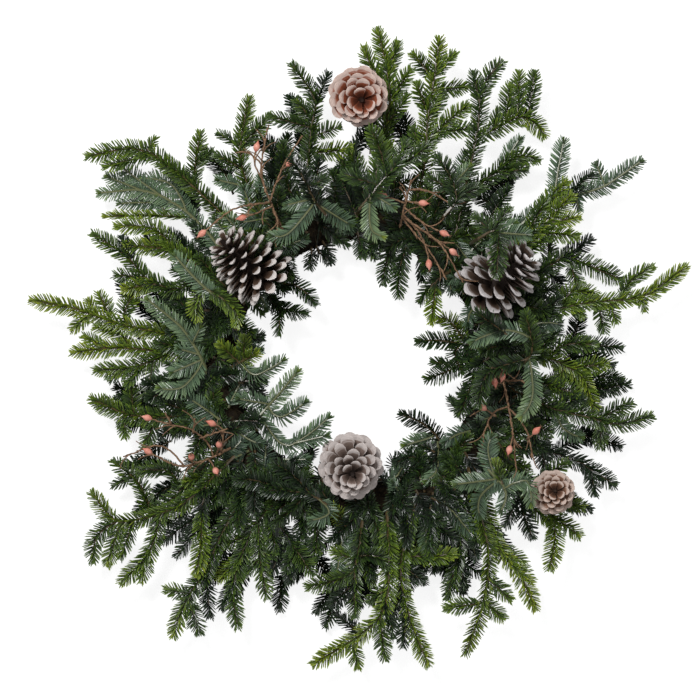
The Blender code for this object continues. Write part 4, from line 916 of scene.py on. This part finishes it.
def hip(wood, fruit, end, way):
    """A hip at the end of a twig, with its dry sepals."""
    tube(fruit, [end + way * reach for reach, _ in HIP_LINE], [radius for _, radius in HIP_LINE],
         14, 0.5, WHOLE)
    side = unit(np.cross(way, UP) + 1e-6)
    turn = 2 * np.pi * np.arange(SEPALS) / SEPALS
    ring = np.cos(turn)[:, None] * side + np.sin(turn)[:, None] * np.cross(side, way)
    blades(wood, np.repeat((end + way * HIP_END)[None], SEPALS, 0), unit(way + ring * 0.8), unit(ring),
           np.full(SEPALS, 2.6), np.full(SEPALS, 0.7), 0.3, np.full(SEPALS, 0.1), np.full(SEPALS, 0.5))


for name, points, side_twigs in TWIGS:
    stem, root_line = read_stem(name, points, side_twigs, TWIG_BARE_STEM)
    wood = Pile()
    fruit = Pile()
    tube(wood, root_line, (1.3, 1.2), 6, 0.5, WHOLE)
    for number, twig in enumerate(stem.all()):
        line = twig.line.copy()
        line[:, :2] += rng.normal(0, 0.25, (len(line), 2))
        line[0] = twig.line[0]
        radii = np.linspace(1.2 if twig.level == 0 else 0.95, 0.65, len(line))
        tube(wood, line, radii + np.where(rng.random(len(line)) < 0.14, 0.4, 0.0), 7, 0.5, WHOLE)
        if len(line) >= 8:
            for _ in range(5 if twig.level == 0 else 2):
                spur(wood, line)
        if number in HIPS[name]:
            hip(wood, fruit, line[-1], unit(line[-1] - line[-4]))
    keep(wood.object("bark_" + name, twig_look, smooth=True, mapped=False), "dried_twigs", name)
    keep(fruit.object("hips_" + name, hip_look, smooth=True, mapped=False), "dried_twigs")


# --- moss ring

TURNS, ARCS = 300, 26
FIBRES = 3400
moss_look = mottled_material("moss_look", ((0.25, linear(16, 13, 9)), (0.55, linear(42, 34, 22)),
                                           (0.8, linear(74, 62, 38))), 260.0, 0.95, 0.9)


def moss_body(pile):
    """The ring itself, closed and rough."""
    angle = 2 * np.pi * np.arange(TURNS) / TURNS
    arc = np.pi * np.arange(ARCS) / (ARCS - 1)
    rough = rng.normal(0, 1, (TURNS, ARCS))
    for _ in range(2):
        rough = (rough + np.roll(rough, 1, 0) + np.roll(rough, -1, 0) + np.roll(rough, 1, 1)
                 + np.roll(rough, -1, 1)) / 2.6
    rough = np.clip(rough * 0.8, -1.8, 1.2)
    rough[:, (0, -1)] = 0
    out = RING_RADIUS + (RING_HALF_WIDTH - 1.0 + rough) * np.cos(arc)[None]
    up = np.maximum((RING_HEIGHT - 1.0 + rough) * np.sin(arc)[None], 0.0)
    points = np.stack([SHIFT[0] + RING_X + out * np.cos(angle)[:, None],
                       SHIFT[1] + RING_Y + out * np.sin(angle)[:, None], up + 0.02], axis=-1)
    triangles = []
    for turn in range(TURNS):
        here, there = turn * ARCS, (turn + 1) % TURNS * ARCS
        for step in range(ARCS):
            onward = (step + 1) % ARCS
            triangles += [(here + step, there + step, there + onward),
                          (here + step, there + onward, here + onward)]
    pile.add(points.reshape(-1, 3), np.array(triangles), np.full((len(triangles) * 3, 2), 0.5))


def moss_fibres(pile):
    """Loose fibres, mostly along the ring."""
    turn = rng.random(FIBRES) * 2 * np.pi
    side = rng.random(FIBRES) * np.pi
    spot = np.column_stack([SHIFT[0] + RING_X + (RING_RADIUS + 20.5 * np.cos(side)) * np.cos(turn),
                            SHIFT[1] + RING_Y + (RING_RADIUS + 20.5 * np.cos(side)) * np.sin(turn),
                            np.maximum(36.5 * np.sin(side), 2.0)])
    normal = unit(np.column_stack([np.cos(side) * np.cos(turn), np.cos(side) * np.sin(turn), np.sin(side)]))
    lie = np.column_stack([-np.sin(turn), np.cos(turn), np.zeros(FIBRES)])
    lie = unit(lie + rng.normal(0, 0.7, (FIBRES, 3)))
    lie = unit(lie - normal * (lie * normal).sum(1)[:, None]
               + normal * rng.uniform(0.02, 0.4, FIBRES)[:, None])
    lie[:, 2] = np.where(spot[:, 2] < 8, np.abs(lie[:, 2]), lie[:, 2])
    blades(pile, spot, unit(lie), normal, rng.uniform(7, 17, FIBRES), rng.uniform(0.5, 1.1, FIBRES), 0.35,
           rng.uniform(-0.25, 0.1, FIBRES), np.full(FIBRES, 0.5))


moss = Pile()
moss_body(moss)
moss_fibres(moss)
keep(moss.object("moss_fibres", moss_look, mapped=False), "moss", "moss_base")


# --- wires, which keep the model's solids

wire_look = mottled_material("wire_look", ((0.35, linear(28, 36, 26)), (0.7, linear(54, 66, 46))),
                             300.0, 0.45, 0.1, 0.5, 0.3)
for name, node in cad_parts.items():
    if name == "wire_frame" or name.endswith("_wire"):
        node.data.materials.clear()
        node.data.materials.append(wire_look)


# --- floor, light and camera

FLOOR_HALF = 4.0
FLOOR_Z = -0.0004
floor_mesh = bpy.data.meshes.new("floor")
corners = [(x * FLOOR_HALF, y * FLOOR_HALF, FLOOR_Z) for x, y in ((-1, -1), (1, -1), (1, 1), (-1, 1))]
floor_mesh.from_pydata(corners, [], [(0, 1, 2, 3)])
floor = bpy.data.objects.new("floor", floor_mesh)
bpy.context.scene.collection.objects.link(floor)
look = Look("floor_look", 0.9, 0.0)
look.set("Base Color", (0.36, 0.36, 0.36, 1.0))
look.set("Emission Color", (1.0, 1.0, 1.0, 1.0))
rays = look.nodes.new("ShaderNodeLightPath")
look.set("Emission Strength", look.math("MULTIPLY", rays.outputs["Is Camera Ray"], 0.85))
floor_mesh.materials.append(look.material)

world = bpy.data.worlds.new("world")
bpy.context.scene.world = world
world.use_nodes = True
sky = Graph(world.node_tree)
background = sky.nodes["Background"]
background.inputs["Color"].default_value = (1.0, 1.0, 1.0, 1.0)
rays = sky.nodes.new("ShaderNodeLightPath")
seen = sky.math("MAXIMUM", rays.outputs["Is Camera Ray"], rays.outputs["Is Transmission Ray"])
sky.feed(background.inputs["Strength"], sky.math("ADD", sky.math("MULTIPLY", seen, 0.79), 0.26))


def lamp(name, place, size, power):
    """A square lamp that faces the wreath."""
    light = bpy.data.lights.new(name, "AREA")
    light.shape = "SQUARE"
    light.size = size
    light.energy = power
    made = bpy.data.objects.new(name, light)
    made.location = place
    made.rotation_euler = (-Vector(place)).to_track_quat("-Z", "Y").to_euler()
    bpy.context.scene.collection.objects.link(made)


lamp("key", (-0.6, 0.9, 1.8), 0.5, 30.0)
lamp("fill", (0.9, -0.6, 1.6), 1.2, 5.0)

camera_data = bpy.data.cameras.new("camera")
camera_data.sensor_width = 36.0
camera_data.lens = 134.0
camera = bpy.data.objects.new("camera", camera_data)
camera.location = ((SHIFT[0] - 8.7) * MM, (SHIFT[1] + 0.9) * MM, 2.445)
bpy.context.scene.collection.objects.link(camera)
bpy.context.scene.camera = camera
bpy.context.scene.view_settings.view_transform = "Standard"
bpy.context.scene.view_settings.look = "None"
